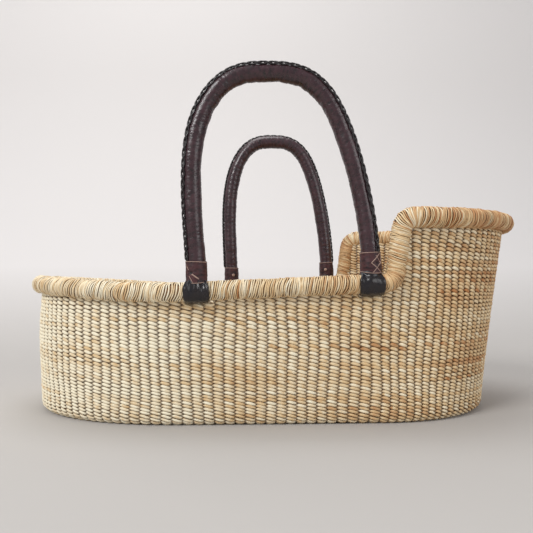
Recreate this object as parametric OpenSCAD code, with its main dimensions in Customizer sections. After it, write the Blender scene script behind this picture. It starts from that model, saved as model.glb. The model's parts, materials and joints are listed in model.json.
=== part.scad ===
// Moses basket of twined grass with two leather-covered carrying handles.
// Row frame: X runs from the foot end (-) to the head end (+), Y across, Z up.
// The origin is the middle of the floor's underside. All sizes are in millimetres.

/* [Floor and plan] */
// Half length of the flat floor, foot and head end alike
floor_reach = 340; // [332:1:343]
// Half width of the flat floor
floor_half_w = 162; // [150:1:166]
// Thickness of the woven floor
floor_t = 7; // [5:0.5:9]
// Where the straight side gives way to the rounded foot end
foot_turn = -118; // [-130:1:-116]
// Where the straight side gives way to the rounded head end
head_turn = 150; // [149:1:160]
// Squareness of the rounded ends, 2 is an ellipse
end_power = 2.1; // [2:0.05:2.4]

/* [Wall] */
// Thickness of the woven wall
wall_t = 7; // [6:0.5:7]
// Radius of the turn from floor to wall
corner_r = 14; // [13:0.5:16]
// How far the foot end's outside swells at two thirds of its height
foot_swell = 3.5; // [0:0.5:5]
// How far the head end flares out at the top
head_flare = 34; // [28:1:36]
// How far each side flares out below the rim
side_flare = 21; // [15:1:25]
// Diameter of a grass stake
stake_d = 3.4; // [2.5:0.1:4]
// Number of stakes round the basket
stake_count = 136; // [100:4:144]

/* [Rim] */
// Radius of the wrapped rim along the sides and foot
rim_r = 13; // [12:0.25:13.25]
// Radius of the wrapped rim at the top of the climb
head_rim_r = 14.5; // [13:0.25:15]
// Radius of the grass bundle inside the rim
rim_core_r = 10; // [8:0.5:11]
// Height of the rim's centre at the foot-side boots
side_z = 181; // [176:1:186]
// Rise of the rim's centre for each millimetre towards the head
side_slope = 0.042; // [0:0.002:0.05]
// Height of the rim's centre at the foot end
foot_z = 190; // [186:1:196]
// Height of the rim's centre at the top of the step
head_z = 280; // [274:1:286]
// Height of the rim's centre at the head end
head_end_z = 283; // [280:1:290]
// Where the rim starts to climb to the head
step_x = 148; // [148:1:150]
// Steepest angle of the climb
step_angle = 82; // [76:1:84]
// Bend radius of the rim's centre at the foot of the climb
step_low_r = 16; // [15:0.5:17]
// Bend radius of the rim's centre at the top of the climb
step_top_r = 20; // [18:1:24]
// Half width between the rim's centres along the sides
rim_half_w = 199; // [195:1:203]
// Reach of the rim's centre at the foot end
rim_foot = 355; // [350:1:362]
// Reach of the rim's centre at the head end
rim_head = 384; // [380:1:388]

/* [Handles] */
// Radius of the leather-covered handle
grip_r = 12.3; // [11:0.1:12.6]
// Radius of the grass bundle inside the handle
core_r = 10.5; // [9:0.1:10.8]
// Foot-side foot of the front handle, along X
front_foot_x = -99; // [-99:1:-80]
// Foot-side foot of the back handle, along X
back_foot_x = -60; // [-99:1:-50]
// Head-side foot of both handles, along X
head_foot_x = 130; // [110:1:130]
// Height of the front handle's centre line above the floor
front_top = 470; // [420:1:480]
// Height of the back handle's centre line above the floor
back_top = 474; // [420:1:480]
// How far the front handle's crown leans to the foot end
front_lean = 20; // [0:1:25]
// How far the back handle's crown leans to the foot end
back_lean = 13; // [0:1:25]
// Squareness of the arch, 2 is an ellipse
arch_power = 2.85; // [2.4:0.05:3.2]

/* [Leather fittings] */
// Gap between the rim and what turns round it
turn_gap = 0.3; // [0.2:0.05:0.4]
// Thickness of the anchor loop under the boot
loop_t = 1.5; // [1:0.25:2]
// Width of the anchor loop
loop_w = 22; // [16:1:24]
// Thickness of the boot outside the loop
boot_t = 2; // [1.5:0.25:2.5]
// Width of the boot under the rim
boot_w = 34; // [30:1:35]
// Width of the boot over the rim
boot_neck_w = 27; // [25:1:30]
// Thickness of the cuff band
cuff_t = 1.3; // [1:0.1:1.6]
// Thickness of the thong that laces the cuff
thong_d = 1.6; // [1.2:0.1:2]
// Thickness of the plaited seam along the grip
plait_d = 4.6; // [3:0.2:5]

/* [Hidden] */

FRONT = -1;
BACK = 1;
FOOT = 0;
HEAD = 1;

GRASS = "burlywood";
STRAW = "tan";
BROWN = "#4b3336";
BLACK = "#1d1a20";

// How finely the basket and the tubes are drawn
foot_steps = 12;
side_steps = 6;
bend_steps = 5;
rise_steps = 4;
head_steps = 13;
tube_sides = 14;
arch_steps = 20;
arch_crowding = 1.6;
thong_steps = 8;
thong_sides = 6;
plait_sides = 8;

wall_reach = floor_reach + corner_r;
wall_half_w = floor_half_w + corner_r;
rim_gap = 0.8;
loop_r = rim_r + turn_gap + loop_t;
boot_r = loop_r + boot_t;
notch_gap = 0.7;

// ---- Small helpers ----

function mix(a, b, k) = a + (b - a) * k;
function ease(k) = let (c = min(max(k, 0), 1)) c * c * (3 - 2 * c);
function unit(v) = v / norm(v);

// Cubic from value a with slope sa to value b with slope sb, over a run of length w, at share k
function cubic(a, sa, b, sb, w, k) =
    a * (2 * k * k * k - 3 * k * k + 1) + sa * w * (k * k * k - 2 * k * k + k)
    + b * (3 * k * k - 2 * k * k * k) + sb * w * (k * k * k - k * k);

// ---- The plan ----

// A station is [x of its turn, share of the end's reach along X, share of the half width].
function end_share(a) = pow(a, 2 / end_power);
function foot_station(t) = [foot_turn, -end_share(cos(t)), end_share(sin(t))];
function head_station(t) = [head_turn, end_share(cos(t)), end_share(sin(t))];

function head_station_at(x) = head_station(acos(pow((x - head_turn) / (rim_head - head_turn), end_power / 2)));

// ---- The rim's climb to the head ----

function side_height(x) = side_z + side_slope * (x - front_foot_x);

step_z = side_height(step_x);
start_angle = atan(side_slope);
top_angle = 4;
low_end_x = step_x + step_low_r * (sin(step_angle) - sin(start_angle));
low_end_z = step_z + step_low_r * (cos(start_angle) - cos(step_angle));
top_start_z = head_z - step_top_r * (cos(top_angle) - cos(step_angle));
top_start_x = low_end_x + (top_start_z - low_end_z) / tan(step_angle);
top_end_x = top_start_x + step_top_r * (sin(step_angle) - sin(top_angle));

// Where along X the stations of the climb lie: round its low bend, up it and round its top bend
climb_xs = concat(
    [for (k = [1 : bend_steps - 1])
        step_x + step_low_r * (sin(mix(start_angle, step_angle, k / bend_steps)) - sin(start_angle))],
    [for (k = [0 : rise_steps - 1]) mix(low_end_x, top_start_x, k / rise_steps)],
    [for (k = [0 : bend_steps])
        top_start_x + step_top_r * (sin(step_angle) - sin(mix(step_angle, top_angle, k / bend_steps)))]);
climb_end = acos(pow((top_end_x - head_turn) / (rim_head - head_turn), end_power / 2));

// Stations of one side, from the foot end's middle to the head end's middle
half_stations = concat(
    [for (i = [0 : foot_steps]) foot_station(90 * i / foot_steps)],
    [for (i = [1 : side_steps - 1]) [mix(foot_turn, head_turn, i / side_steps), 0, 1]],
    [head_station(90)],
    [for (x = climb_xs) if (x > head_turn + 0.5) head_station_at(x)],
    [for (i = [1 : head_steps]) head_station(climb_end * (1 - i / head_steps))]);

half_n = len(half_stations);

// All stations: along the front to the head end's middle, and back along the other side
stations = concat(
    [for (s = half_stations) [s[0], s[1], -s[2]]],
    [for (i = [half_n - 2 : -1 : 1]) half_stations[i]]);
station_n = len(stations);

// The point of an outline with these reaches and half width at a station
function plan(s, foot, head, half_w) =
    [s[0] + s[1] * ((s[1] < 0 ? foot : head) - abs(s[0])), s[2] * half_w];

// ---- The rim's centre line ----

function foot_height(x) =
    let (w = foot_turn + rim_foot)
    cubic(foot_z, -0.03, side_height(foot_turn), side_slope, w, (x + rim_foot) / w);
function low_arc_height(x) =
    let (a = asin((x - step_x) / step_low_r + sin(start_angle)))
    step_z + step_low_r * (cos(start_angle) - cos(a));
function top_arc_height(x) =
    let (a = asin(sin(step_angle) - (x - top_start_x) / step_top_r))
    top_start_z + step_top_r * (cos(a) - cos(step_angle));

function rim_height(x) =
    x < foot_turn ? foot_height(x)
    : x <= step_x ? side_height(x)
    : x <= low_end_x ? low_arc_height(x)
    : x <= top_start_x ? low_end_z + (x - low_end_x) * tan(step_angle)
    : x <= top_end_x ? top_arc_height(x)
    : mix(head_z, head_end_z, ease((x - top_end_x) / (rim_head - top_end_x)));

// The rim is thickest at the top of the climb, and thins again round the head end
function rim_radius(x) =
    x <= top_end_x ? mix(rim_r, head_rim_r, ease((x - low_end_x) / (top_end_x - low_end_x)))
    : mix(head_rim_r, rim_r, ease((x - top_end_x) / (rim_head - top_end_x)));

rim_plan = [for (s = stations) plan(s, rim_foot, rim_head, rim_half_w)];
rim_line = [for (p = rim_plan) [p[0], p[1], rim_height(p[0])]];

// ---- The wall ----

// Share of the way up the wall at height z, for a wall with this top
function share_up(z, top) = min(max((z - corner_r) / (top - corner_r), 0), 1);

// Height at which a side's flare is full: just below the rim there, so it rises gently under the climb
flare_from = 140;
flare_to = 230;

function flare_top(x) =
    mix(side_z - rim_r, head_z - head_rim_r, ease((x - flare_from) / (flare_to - flare_from)));

// The foot's swell is fullest above half height; the head flares more and more on the way up
swell_power = 1.6;
flare_power = 1.15;
head_tuck = 9;

// Outline of the wall at height z: [foot reach, head reach, half width]
function wall_outline(z, full, inset) =
    [wall_reach + foot_swell * sin(180 * pow(share_up(z, side_z - rim_r), swell_power)) - inset,
     wall_reach - head_tuck + head_flare * pow(share_up(z, head_z - rim_r), flare_power) - inset,
     wall_half_w + side_flare * share_up(z, full) - inset];

function wall_point(s, z, full, inset) =
    let (o = wall_outline(z, full, inset), p = plan(s, o[0], o[1], o[2])) [p[0], p[1], z];

// Height of the rim's underside over a station, less a small gap
function under_rim(i) =
    min([for (k = [-14 : 14])
        let (j = (i + k + station_n) % station_n,
             r = rim_radius(rim_line[j][0]),
             d = norm(rim_plan[i] - rim_plan[j]))
        rim_line[j][2] - (d < r ? sqrt(r * r - d * d) : 0)]) - rim_gap;

wall_shares = [0.25, 0.5, 0.75, 1];
inner_r = corner_r - wall_t;

// The wall's cross-section at a station: up the outside, over the top and down the inside
function wall_section(i) =
    let (s = stations[i], top = under_rim(i), full = flare_top(rim_plan[i][0]))
    concat(
        [for (a = [0, 30, 60, 90])
            wall_point(s, corner_r * (1 - cos(a)), full, corner_r * (1 - sin(a)))],
        [for (k = wall_shares) wall_point(s, mix(corner_r, top, k), full, 0)],
        [for (n = [len(wall_shares) - 1 : -1 : 0])
            wall_point(s, mix(corner_r, top, wall_shares[n]), full, wall_t)],
        [for (a = [90, 45, 0])
            wall_point(s, floor_t + inner_r * (1 - cos(a)), full, wall_t + inner_r * (1 - sin(a)))]);

// ---- Sweeping ----

// Faces of rows of points joined into a tube; closed joins the last row to the first
function tube_faces(rows, cols, closed) =
    [for (i = [0 : rows - (closed ? 1 : 2)], j = [0 : cols - 1])
        let (a = i * cols, b = ((i + 1) % rows) * cols, k = (j + 1) % cols)
        [a + j, b + j, b + k, a + k]];

function end_faces(rows, cols) =
    [[for (j = [0 : cols - 1]) j], [for (j = [cols - 1 : -1 : 0]) (rows - 1) * cols + j]];

// A ring with its own closed cross-section at every station
module loop_solid(rows) {
    points = [for (row = rows, p = row) p];
    polyhedron(points, tube_faces(len(rows), len(rows[0]), true), convexity = 10);
}

// A solid rod through rows of points
module rod_solid(rows) {
    points = [for (row = rows, p = row) p];
    faces = concat(tube_faces(len(rows), len(rows[0]), false), end_faces(len(rows), len(rows[0])));
    polyhedron(points, faces, convexity = 10);
}

// A pipe: each row holds the outer ring and then the inner ring, as many points each
module pipe_solid(rows) {
    n = len(rows[0]) / 2;
    last = len(rows) - 1;
    points = [for (row = rows, p = row) p];
    outer = [for (i = [0 : last - 1], j = [0 : n - 1])
        let (a = i * 2 * n, b = a + 2 * n, k = (j + 1) % n) [a + j, b + j, b + k, a + k]];
    inner = [for (i = [0 : last - 1], j = [0 : n - 1])
        let (a = i * 2 * n + n, b = a + 2 * n, k = (j + 1) % n) [a + j, a + k, b + k, b + j]];
    start = [for (j = [0 : n - 1]) let (k = (j + 1) % n) [j, k, n + k, n + j]];
    stop = [for (j = [0 : n - 1])
        let (k = (j + 1) % n, a = last * 2 * n) [a + j, a + n + j, a + n + k, a + k]];
    polyhedron(points, concat(outer, inner, start, stop), convexity = 10);
}

// A ring of points of radius r round a centre, in the plane of out and up
function ring(centre, out, up, r, sides) =
    [for (j = [0 : sides - 1])
        let (a = 360 * j / sides) centre + r * (cos(a) * out + sin(a) * up)];

// ---- Rim rings ----

function rim_tangent(i) =
    unit(rim_line[(i + 1) % station_n] - rim_line[(i + station_n - 1) % station_n]);
function rim_ring(i, r) =
    let (t = rim_tangent(i), out = unit([t[1], -t[0], 0]), up = cross(out, t))
    ring(rim_line[i], out, up, r, tube_sides);

// ---- Handles ----

function foot_x(side) = side == FRONT ? front_foot_x : back_foot_x;
function end_x(side, foot_or_head) = foot_or_head == FOOT ? foot_x(side) : head_foot_x;
function crown_z(side) = side == FRONT ? front_top : back_top;
function lean(side) = side == FRONT ? front_lean : back_lean;

// How far above the turning line the legs are drawn from, before the saddle is cut
leg_start = 9;
// Share of the arch's height at which it has leant all it will
lean_share = 0.85;

// The arch's centre line; a runs from 0 at the foot-side leg to 180 at the head-side leg
function arch_point(side, a) =
    let (wide = sign(cos(a)) * pow(abs(cos(a)), 2 / arch_power),
         tall = pow(abs(sin(a)), 2 / arch_power),
         half = (head_foot_x - foot_x(side)) / 2,
         mid = (head_foot_x + foot_x(side)) / 2,
         x = mid - half * wide,
         low = side_height(x) + leg_start)
    [x - lean(side) * ease(tall / lean_share), side * rim_half_w, mix(low, crown_z(side), tall)];

function arch_angle(n) =
    n <= arch_steps ? 90 * pow(n / arch_steps, arch_crowding)
    : 180 - 90 * pow((2 * arch_steps - n) / arch_steps, arch_crowding);

arch_n = 2 * arch_steps;
cuff_rows = 2;

function arch_centre(side, n) = arch_point(side, arch_angle(n));
function arch_tangent(side, n) =
    n == 0 ? [0, 0, 1] : n == arch_n ? [0, 0, -1]
    : unit(arch_centre(side, n + 1) - arch_centre(side, n - 1));

// out points away from the hand, across the arch's plane is always Y
function arch_out(side, n) = let (t = arch_tangent(side, n)) [-t[2], 0, t[0]];
function arch_ring(side, n, r) =
    ring(arch_centre(side, n), arch_out(side, n), [0, -1, 0], r, tube_sides);

// The line that a handle turns about runs through both its boots, at this slope
module on_turning_line(side, x) {
    translate([x, side * rim_half_w, side_height(x)])
        rotate([0, -start_angle, 0])
            children();
}

// A round bar along the turning line, centred on a boot
module turning_bar(r, w) {
    rotate([0, 90, 0])
        cylinder(r = r, h = w, center = true, $fn = 96);
}

// What stands on the boots, cut to sit on both of them
module saddled(side) {
    difference() {
        children();
        for (x = [foot_x(side), head_foot_x])
            on_turning_line(side, x) turning_bar(boot_r, 2 * boot_w);
    }
}

module handle_core(side) {
    color(STRAW)
        saddled(side)
            rod_solid([for (n = [0 : arch_n]) arch_ring(side, n, core_r)]);
}

module handle_cover(side) {
    color(BROWN)
        saddled(side)
            pipe_solid([for (n = [0 : arch_n])
                concat(arch_ring(side, n, grip_r), arch_ring(side, n, core_r))]);
}

module handle_plait(side) {
    color(BROWN)
        rod_solid([for (n = [cuff_rows + 1 : arch_n - cuff_rows - 1])
            let (out = arch_out(side, n),
                 centre = arch_centre(side, n) + out * (grip_r + plait_d / 2 + 0.1))
            ring(centre, out, [0, -1, 0], plait_d / 2, plait_sides)]);
}

module cuff(side, foot_or_head) {
    first = foot_or_head == FOOT ? 0 : arch_n - cuff_rows;
    color(BROWN)
        saddled(side)
            pipe_solid([for (n = [first : first + cuff_rows])
                concat(arch_ring(side, n, grip_r + cuff_t), arch_ring(side, n, grip_r))]);
}

// The thong crosses the cuff's outside face twice
thong_sweep = 50;
thong_low = 18;
thong_high = 34;

module thong(side, foot_or_head) {
    x = end_x(side, foot_or_head);
    r = grip_r + cuff_t + thong_d / 2 + 0.35;
    color("rosybrown")
        translate([x, side * rim_half_w, side_height(x)]) {
            thong_strand(side, r, thong_low, thong_high);
            thong_strand(side, r, thong_high, thong_low);
        }
}

module thong_strand(side, r, z_from, z_to) {
    rod_solid([for (i = [0 : thong_steps])
        let (a = mix(-thong_sweep, thong_sweep, i / thong_steps),
             out = [sin(a), side * cos(a), 0])
        ring(r * out + [0, 0, mix(z_from, z_to, i / thong_steps)],
             out, side * [0, 0, 1], thong_d / 2, thong_sides)]);
}

// The boot is a sleeve round the rim, wider below than above, with its lower corners taken off
boot_corner = 3;

module boot(side, foot_or_head) {
    half_low = boot_w / 2;
    half_top = boot_neck_w / 2;
    half_hem = half_low - boot_corner;
    color(BLACK)
        on_turning_line(side, end_x(side, foot_or_head))
            difference() {
                intersection() {
                    turning_bar(boot_r, boot_w);
                    rotate([90, 0, 0])
                        linear_extrude(height = 3 * boot_r, center = true)
                            polygon([[-half_hem, -boot_r - 1], [half_hem, -boot_r - 1],
                                     [half_low, -boot_r / 2], [half_low, 0],
                                     [half_top, boot_r + 1], [-half_top, boot_r + 1],
                                     [-half_low, 0], [-half_low, -boot_r / 2]]);
                }
                turning_bar(rim_r + turn_gap, 2 * boot_w);
                turning_bar(loop_r, loop_w);
            }
}

module anchor_loop(side, foot_or_head) {
    color(STRAW)
        on_turning_line(side, end_x(side, foot_or_head))
            difference() {
                turning_bar(loop_r, loop_w);
                turning_bar(rim_r + turn_gap, 2 * loop_w);
            }
}

// ---- Basket ----

module floor_weave() {
    color(GRASS)
        linear_extrude(height = floor_t)
            polygon([for (s = stations) plan(s, floor_reach, floor_reach - head_tuck, floor_half_w)]);
}

// Stakes of the floor: across it along the straight part, inside the weave
floor_pitch = 14;

module floor_stakes() {
    color(STRAW)
        for (x = [foot_turn : floor_pitch : head_turn])
            translate([x, 0, floor_t / 2])
                rotate([90, 0, 0])
                    cylinder(d = stake_d, h = 2 * (floor_half_w - wall_t), center = true, $fn = 24);
}

module wall_weave() {
    color(GRASS)
        difference() {
            loop_solid([for (i = [0 : station_n - 1]) wall_section(i)]);
            for (side = [FRONT, BACK], x = [foot_x(side), head_foot_x])
                on_turning_line(side, x) turning_bar(boot_r + notch_gap, boot_w + 2 * notch_gap);
        }
}

// A stake stands in the middle of the wall, from above the corner to below the rim
stake_low = 20;
stake_clear = 9;
// A stake is pieced from two lengths where the wall curves on its way up: round the ends, halfway up,
// and past the climb, where the side's flare stops well below the rim
pieced_from = 0.3;
piece_gap = 0.6;
piece_shortest = 12;

// Distance round the rim from the foot end to each station
gaps = [for (i = [0 : station_n - 1]) norm(rim_plan[(i + 1) % station_n] - rim_plan[i])];
distances = [for (i = 0, d = 0; i <= station_n; d = d + (i < station_n ? gaps[i] : 0), i = i + 1) d];

// The station, with its fraction, that lies this far round
function station_at(d) =
    let (i = [for (k = [0 : station_n - 1]) if (distances[k] <= d && d < distances[k + 1]) k][0])
    i + (d - distances[i]) / gaps[i];

// What a list over the stations holds at station i and a fraction
function between(list, n) =
    let (i = floor(n)) mix(list[i % station_n], list[(i + 1) % station_n], n - i);

wall_tops = [for (i = [0 : station_n - 1]) under_rim(i)];

module stake(n) {
    s = between(stations, n);
    full = flare_top(between(rim_plan, n)[0]);
    high = between(wall_tops, n) - stake_clear;
    at_end = abs(s[1]) >= pieced_from;
    knee = at_end ? (stake_low + high) / 2 : full;
    lengths = !at_end && high - full < piece_shortest ? [[stake_low, high]]
        : [[stake_low, knee - piece_gap / 2], [knee + piece_gap / 2, high]];
    for (part = lengths)
        stake_length(wall_point(s, part[0], full, wall_t / 2), wall_point(s, part[1], full, wall_t / 2));
}

module stake_length(low, high) {
    run = high - low;
    translate(low)
        rotate([0, acos(run[2] / norm(run)), atan2(run[1], run[0])])
            cylinder(d = stake_d, h = norm(run), $fn = 24);
}

module wall_stakes() {
    color(STRAW)
        for (k = [0 : stake_count - 1])
            stake(station_at(k * distances[station_n] / stake_count));
}

module rim_core() {
    color(STRAW)
        loop_solid([for (i = [0 : station_n - 1]) rim_ring(i, rim_core_r)]);
}

// The wrap fills the space between the core and the rim's outside, with this much clear of the core;
// it starts and ends at the foot
wrap_gap = 0.6;
wrap_clear = 0.1;

function wrap_shift(i) =
    i == 0 ? wrap_gap / 2 * rim_tangent(0) : i == station_n ? -wrap_gap / 2 * rim_tangent(0) : [0, 0, 0];
function wrap_ring(i, r) = [for (p = rim_ring(i % station_n, r)) p + wrap_shift(i)];

module rim_wrap() {
    color(GRASS)
        pipe_solid([for (i = [0 : station_n])
            concat(wrap_ring(i, rim_radius(rim_line[i % station_n][0])), wrap_ring(i, rim_core_r + wrap_clear))]);
}

floor_weave();
floor_stakes();
wall_weave();
wall_stakes();
rim_core();
rim_wrap();
handle_core(FRONT);  // front_handle_core
handle_cover(FRONT);  // front_handle_cover
handle_plait(FRONT);  // front_handle_plait
cuff(FRONT, FOOT);  // front_foot_cuff
cuff(FRONT, HEAD);  // front_head_cuff
thong(FRONT, FOOT);  // front_foot_thong
thong(FRONT, HEAD);  // front_head_thong
boot(FRONT, FOOT);  // front_foot_boot
boot(FRONT, HEAD);  // front_head_boot
anchor_loop(FRONT, FOOT);  // front_foot_loop
anchor_loop(FRONT, HEAD);  // front_head_loop
handle_core(BACK);  // back_handle_core
handle_cover(BACK);  // back_handle_cover
handle_plait(BACK);  // back_handle_plait
cuff(BACK, FOOT);  // back_foot_cuff
cuff(BACK, HEAD);  // back_head_cuff
thong(BACK, FOOT);  // back_foot_thong
thong(BACK, HEAD);  // back_head_thong
boot(BACK, FOOT);  // back_foot_boot
boot(BACK, HEAD);  // back_head_boot
anchor_loop(BACK, FOOT);  // back_foot_loop
anchor_loop(BACK, HEAD);  // back_head_loop
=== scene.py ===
"""A moses basket of twined grass with leather-covered handles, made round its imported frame."""
import json
import math

import bpy
import numpy as np
from bpy.props import FloatProperty, FloatVectorProperty, IntProperty, PointerProperty
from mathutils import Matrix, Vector


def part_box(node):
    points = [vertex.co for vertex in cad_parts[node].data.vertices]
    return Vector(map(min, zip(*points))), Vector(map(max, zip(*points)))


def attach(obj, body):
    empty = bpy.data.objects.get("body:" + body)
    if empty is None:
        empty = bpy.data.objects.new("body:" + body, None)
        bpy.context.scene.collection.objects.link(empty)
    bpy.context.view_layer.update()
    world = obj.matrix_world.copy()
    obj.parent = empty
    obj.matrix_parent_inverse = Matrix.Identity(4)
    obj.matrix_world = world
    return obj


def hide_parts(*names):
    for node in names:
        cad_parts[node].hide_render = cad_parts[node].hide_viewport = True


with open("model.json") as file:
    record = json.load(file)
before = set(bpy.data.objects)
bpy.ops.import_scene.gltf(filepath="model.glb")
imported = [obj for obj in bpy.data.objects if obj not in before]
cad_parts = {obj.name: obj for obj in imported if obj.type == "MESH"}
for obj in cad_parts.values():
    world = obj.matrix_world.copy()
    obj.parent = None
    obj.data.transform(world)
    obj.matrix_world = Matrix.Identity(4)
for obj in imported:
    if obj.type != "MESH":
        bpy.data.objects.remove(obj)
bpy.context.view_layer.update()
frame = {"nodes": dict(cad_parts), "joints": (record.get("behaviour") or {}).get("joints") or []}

bl_info = {
    "name": "Twined moses basket",
    "version": (1, 0, 0),
    "blender": (4, 5, 0),
    "location": "View3D > Sidebar > Basket",
    "description": "Weaves a moses basket in grass and covers its handles in leather",
    "category": "Add Mesh",
}

FRONT, BACK = -1, 1
SIDES = {FRONT: "front", BACK: "back"}
FEET = ("foot", "head")
MM = 0.001


# ---- Sizes that the frame gives ----

def box_middle(node):
    low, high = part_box(node)
    return (low + high) / 2


def joint_of(side):
    """The hinge on which this side's handle swings."""
    return next(j for j in frame["joints"] if j["child"] == SIDES[side] + "_handle")


RIM_LOW, RIM_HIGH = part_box("rim_wrap")
FLOOR_LOW, FLOOR_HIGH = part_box("floor_weave")
RIM_SLOPE = joint_of(FRONT)["axis"][2] / joint_of(FRONT)["axis"][0]


def grip_top(side):
    """Height of the top of this side's bundle, inside its leather."""
    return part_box(SIDES[side] + "_handle_core")[1].z


def boot_places():
    """Each boot's side of the basket and its middle."""
    return [(side, box_middle(f"{name}_{end}_boot")) for side, name in SIDES.items() for end in FEET]


# Rim's slopes behind the climb and at the foot end's middle
HEAD_SLOPE, FOOT_SLOPE = math.radians(4), -0.03
# How the foot end's swell and the head end's flare grow with height
SWELL_POWER, FLARE_POWER = 1.6, 1.15
# Height up the wall over which courses grow to their full height, and where the sides' courses end
COURSE_GROWTH, SIDE_COURSES = 0.14, 0.17
# Half widths along the rim that each boot keeps clear of strands, of stakes and of proud windings
BOOT_STRANDS, BOOT_STAKES, BOOT_WINDINGS = 17.8 * MM, 20 * MM, 18 * MM
# Depth under the rim's centre that strands keep below a boot, and how much lower its stakes end
BOOT_DEPTH, STAKE_TUCK = 19.6 * MM, 10 * MM
# Bundle of grass inside a handle
CORE_RADIUS = 10.5 * MM
# Shade, 0 to 1, of a strand that has no blades of its own
EVEN_SHADE = 0.5


# ---- Settings ----

def length(name, description, default, low=0.0):
    return FloatProperty(name=name, description=description, default=default, min=low, max=2.0,
                         unit="LENGTH", subtype="DISTANCE", precision=4)


def squareness(name, description, default):
    return FloatProperty(name=name, description=description, default=default, min=0.0, max=4.0)


def angle(name, description, degrees):
    return FloatProperty(name=name, description=description, default=math.radians(degrees),
                         unit="ROTATION", subtype="ANGLE")


def linear(red, green, blue):
    """A paint chip's colour, 0 to 255 as a screen shows it, in scene values."""
    def one(part):
        part = part / 255
        return part / 12.92 if part <= 0.04045 else ((part + 0.055) / 1.055) ** 2.4
    return one(red), one(green), one(blue)


def colour(name, description, red, green, blue):
    return FloatVectorProperty(name=name, description=description, default=linear(red, green, blue),
                               subtype="COLOR", size=3, min=0.0, max=1.0)


class BasketSizes(bpy.types.PropertyGroup):
    """The basket's own shape."""

    floor_reach: length("Floor reach", "Reach of the flat floor at the foot end", -FLOOR_LOW.x)
    floor_half_width: length("Floor half width", "Half width of the flat floor", FLOOR_HIGH.y)
    corner_radius: length("Corner radius", "Turn from the floor to the wall", 14 * MM)
    wall_thickness: length("Wall thickness", "Thickness of the woven wall", FLOOR_HIGH.z)
    foot_turn: length("Foot turn", "Where the side gives way to the foot end", -118 * MM, -1)
    head_turn: length("Head turn", "Where the side gives way to the head end", 150 * MM)
    end_power: squareness("End squareness", "2 makes the ends elliptical", 2.1)
    foot_swell: length("Foot swell", "How far the foot end's wall swells", 3.5 * MM)
    head_flare: length("Head flare", "How far the head end's wall flares out", 34 * MM)
    head_tuck: length("Head tuck", "How much less the floor reaches at the head end",
                      -FLOOR_LOW.x - FLOOR_HIGH.x)
    side_flare: length("Side flare", "How far the sides flare out", 21 * MM)
    rim_radius: length("Rim radius", "Wrapped rim along the sides and foot", 13 * MM)
    head_rim_radius: length("Head rim radius", "Wrapped rim at the top of the climb", 14.5 * MM)
    foot_height: length("Foot rim height", "Rim's centre at the foot end", 190 * MM)
    head_height: length("Head rim height", "Rim's centre at the top of the step", 280 * MM)
    head_end_height: length("Head end height", "Rim's centre at the head end", 283 * MM)
    step_start: length("Step start", "Where the rim starts to climb", 148 * MM)
    step_angle: angle("Step angle", "Steepest part of the climb", 82)
    step_low_radius: length("Step low bend", "Rim's bend at the foot of the climb", 16 * MM)
    step_top_radius: length("Step top bend", "Rim's bend at the top of the climb", 20 * MM)
    flare_from: length("Flare from", "Where the sides' flare starts to rise to the head", 140 * MM)
    flare_to: length("Flare to", "Where the sides' flare has risen to the head", 230 * MM)


class WeaveSizes(bpy.types.PropertyGroup):
    """How the grass is woven and wound."""

    stake_count: IntProperty(name="Stakes", description="Stakes round the wall, an even number",
                             default=136, min=60, max=200, step=2)
    low_course: length("Low course", "Height of a course next to the floor", 4.4 * MM)
    high_course: length("High course", "Height of a course under the rim", 5.2 * MM)
    strand_thickness: length("Strand thickness", "Thickness of a weaving strand", 2.7 * MM)
    stake_radius: length("Stake radius", "Radius of a grass stake", 1.6 * MM)
    floor_pitch: length("Floor course", "Width of a course of the floor", 6 * MM)
    wrap_starts: IntProperty(name="Wrap strands", description="Strands wound side by side",
                             default=6, min=1, max=20)
    wrap_pitch: length("Wrap pitch", "Width of one wound strand", 2.5 * MM)
    blade: length("Blade length", "Longest stretch of one colour of grass", 0.34)


class HandleSizes(bpy.types.PropertyGroup):
    """The handles and their leather."""

    grip_radius: length("Grip radius", "Leather-covered handle", 12.3 * MM)
    front_lean: length("Front lean", "How far the front crown leans to the foot", 20 * MM)
    back_lean: length("Back lean", "How far the back crown leans to the foot", 13 * MM)
    arch_power: squareness("Arch squareness", "2 makes the arch elliptical", 2.85)
    leg_start: length("Leg start", "Where the legs start above the rim's centre", 9 * MM)
    plait_width: length("Plait width", "Plaited seam along the outside", 7.6 * MM)
    plait_wave: length("Plait wave", "Length in which a thong of the plait crosses and comes back",
                       40 * MM)
    cuff_top: length("Cuff top", "Cuff's top edge above the rim's centre", 39 * MM)
    foot_cuff_bottom: length("Foot cuff bottom", "Bottom edge of the foot-side cuffs", 9 * MM)
    head_cuff_bottom: length("Head cuff bottom", "Bottom edge of the head-side cuffs", 12.5 * MM)
    boot_radius: length("Boot radius", "Boot's outside round the rim", 16.6 * MM)
    boot_bore: length("Boot bore", "Boot's inside round the rim", 13.3 * MM)
    boot_width: length("Boot width", "Boot's width under the rim", 34 * MM)


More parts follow.
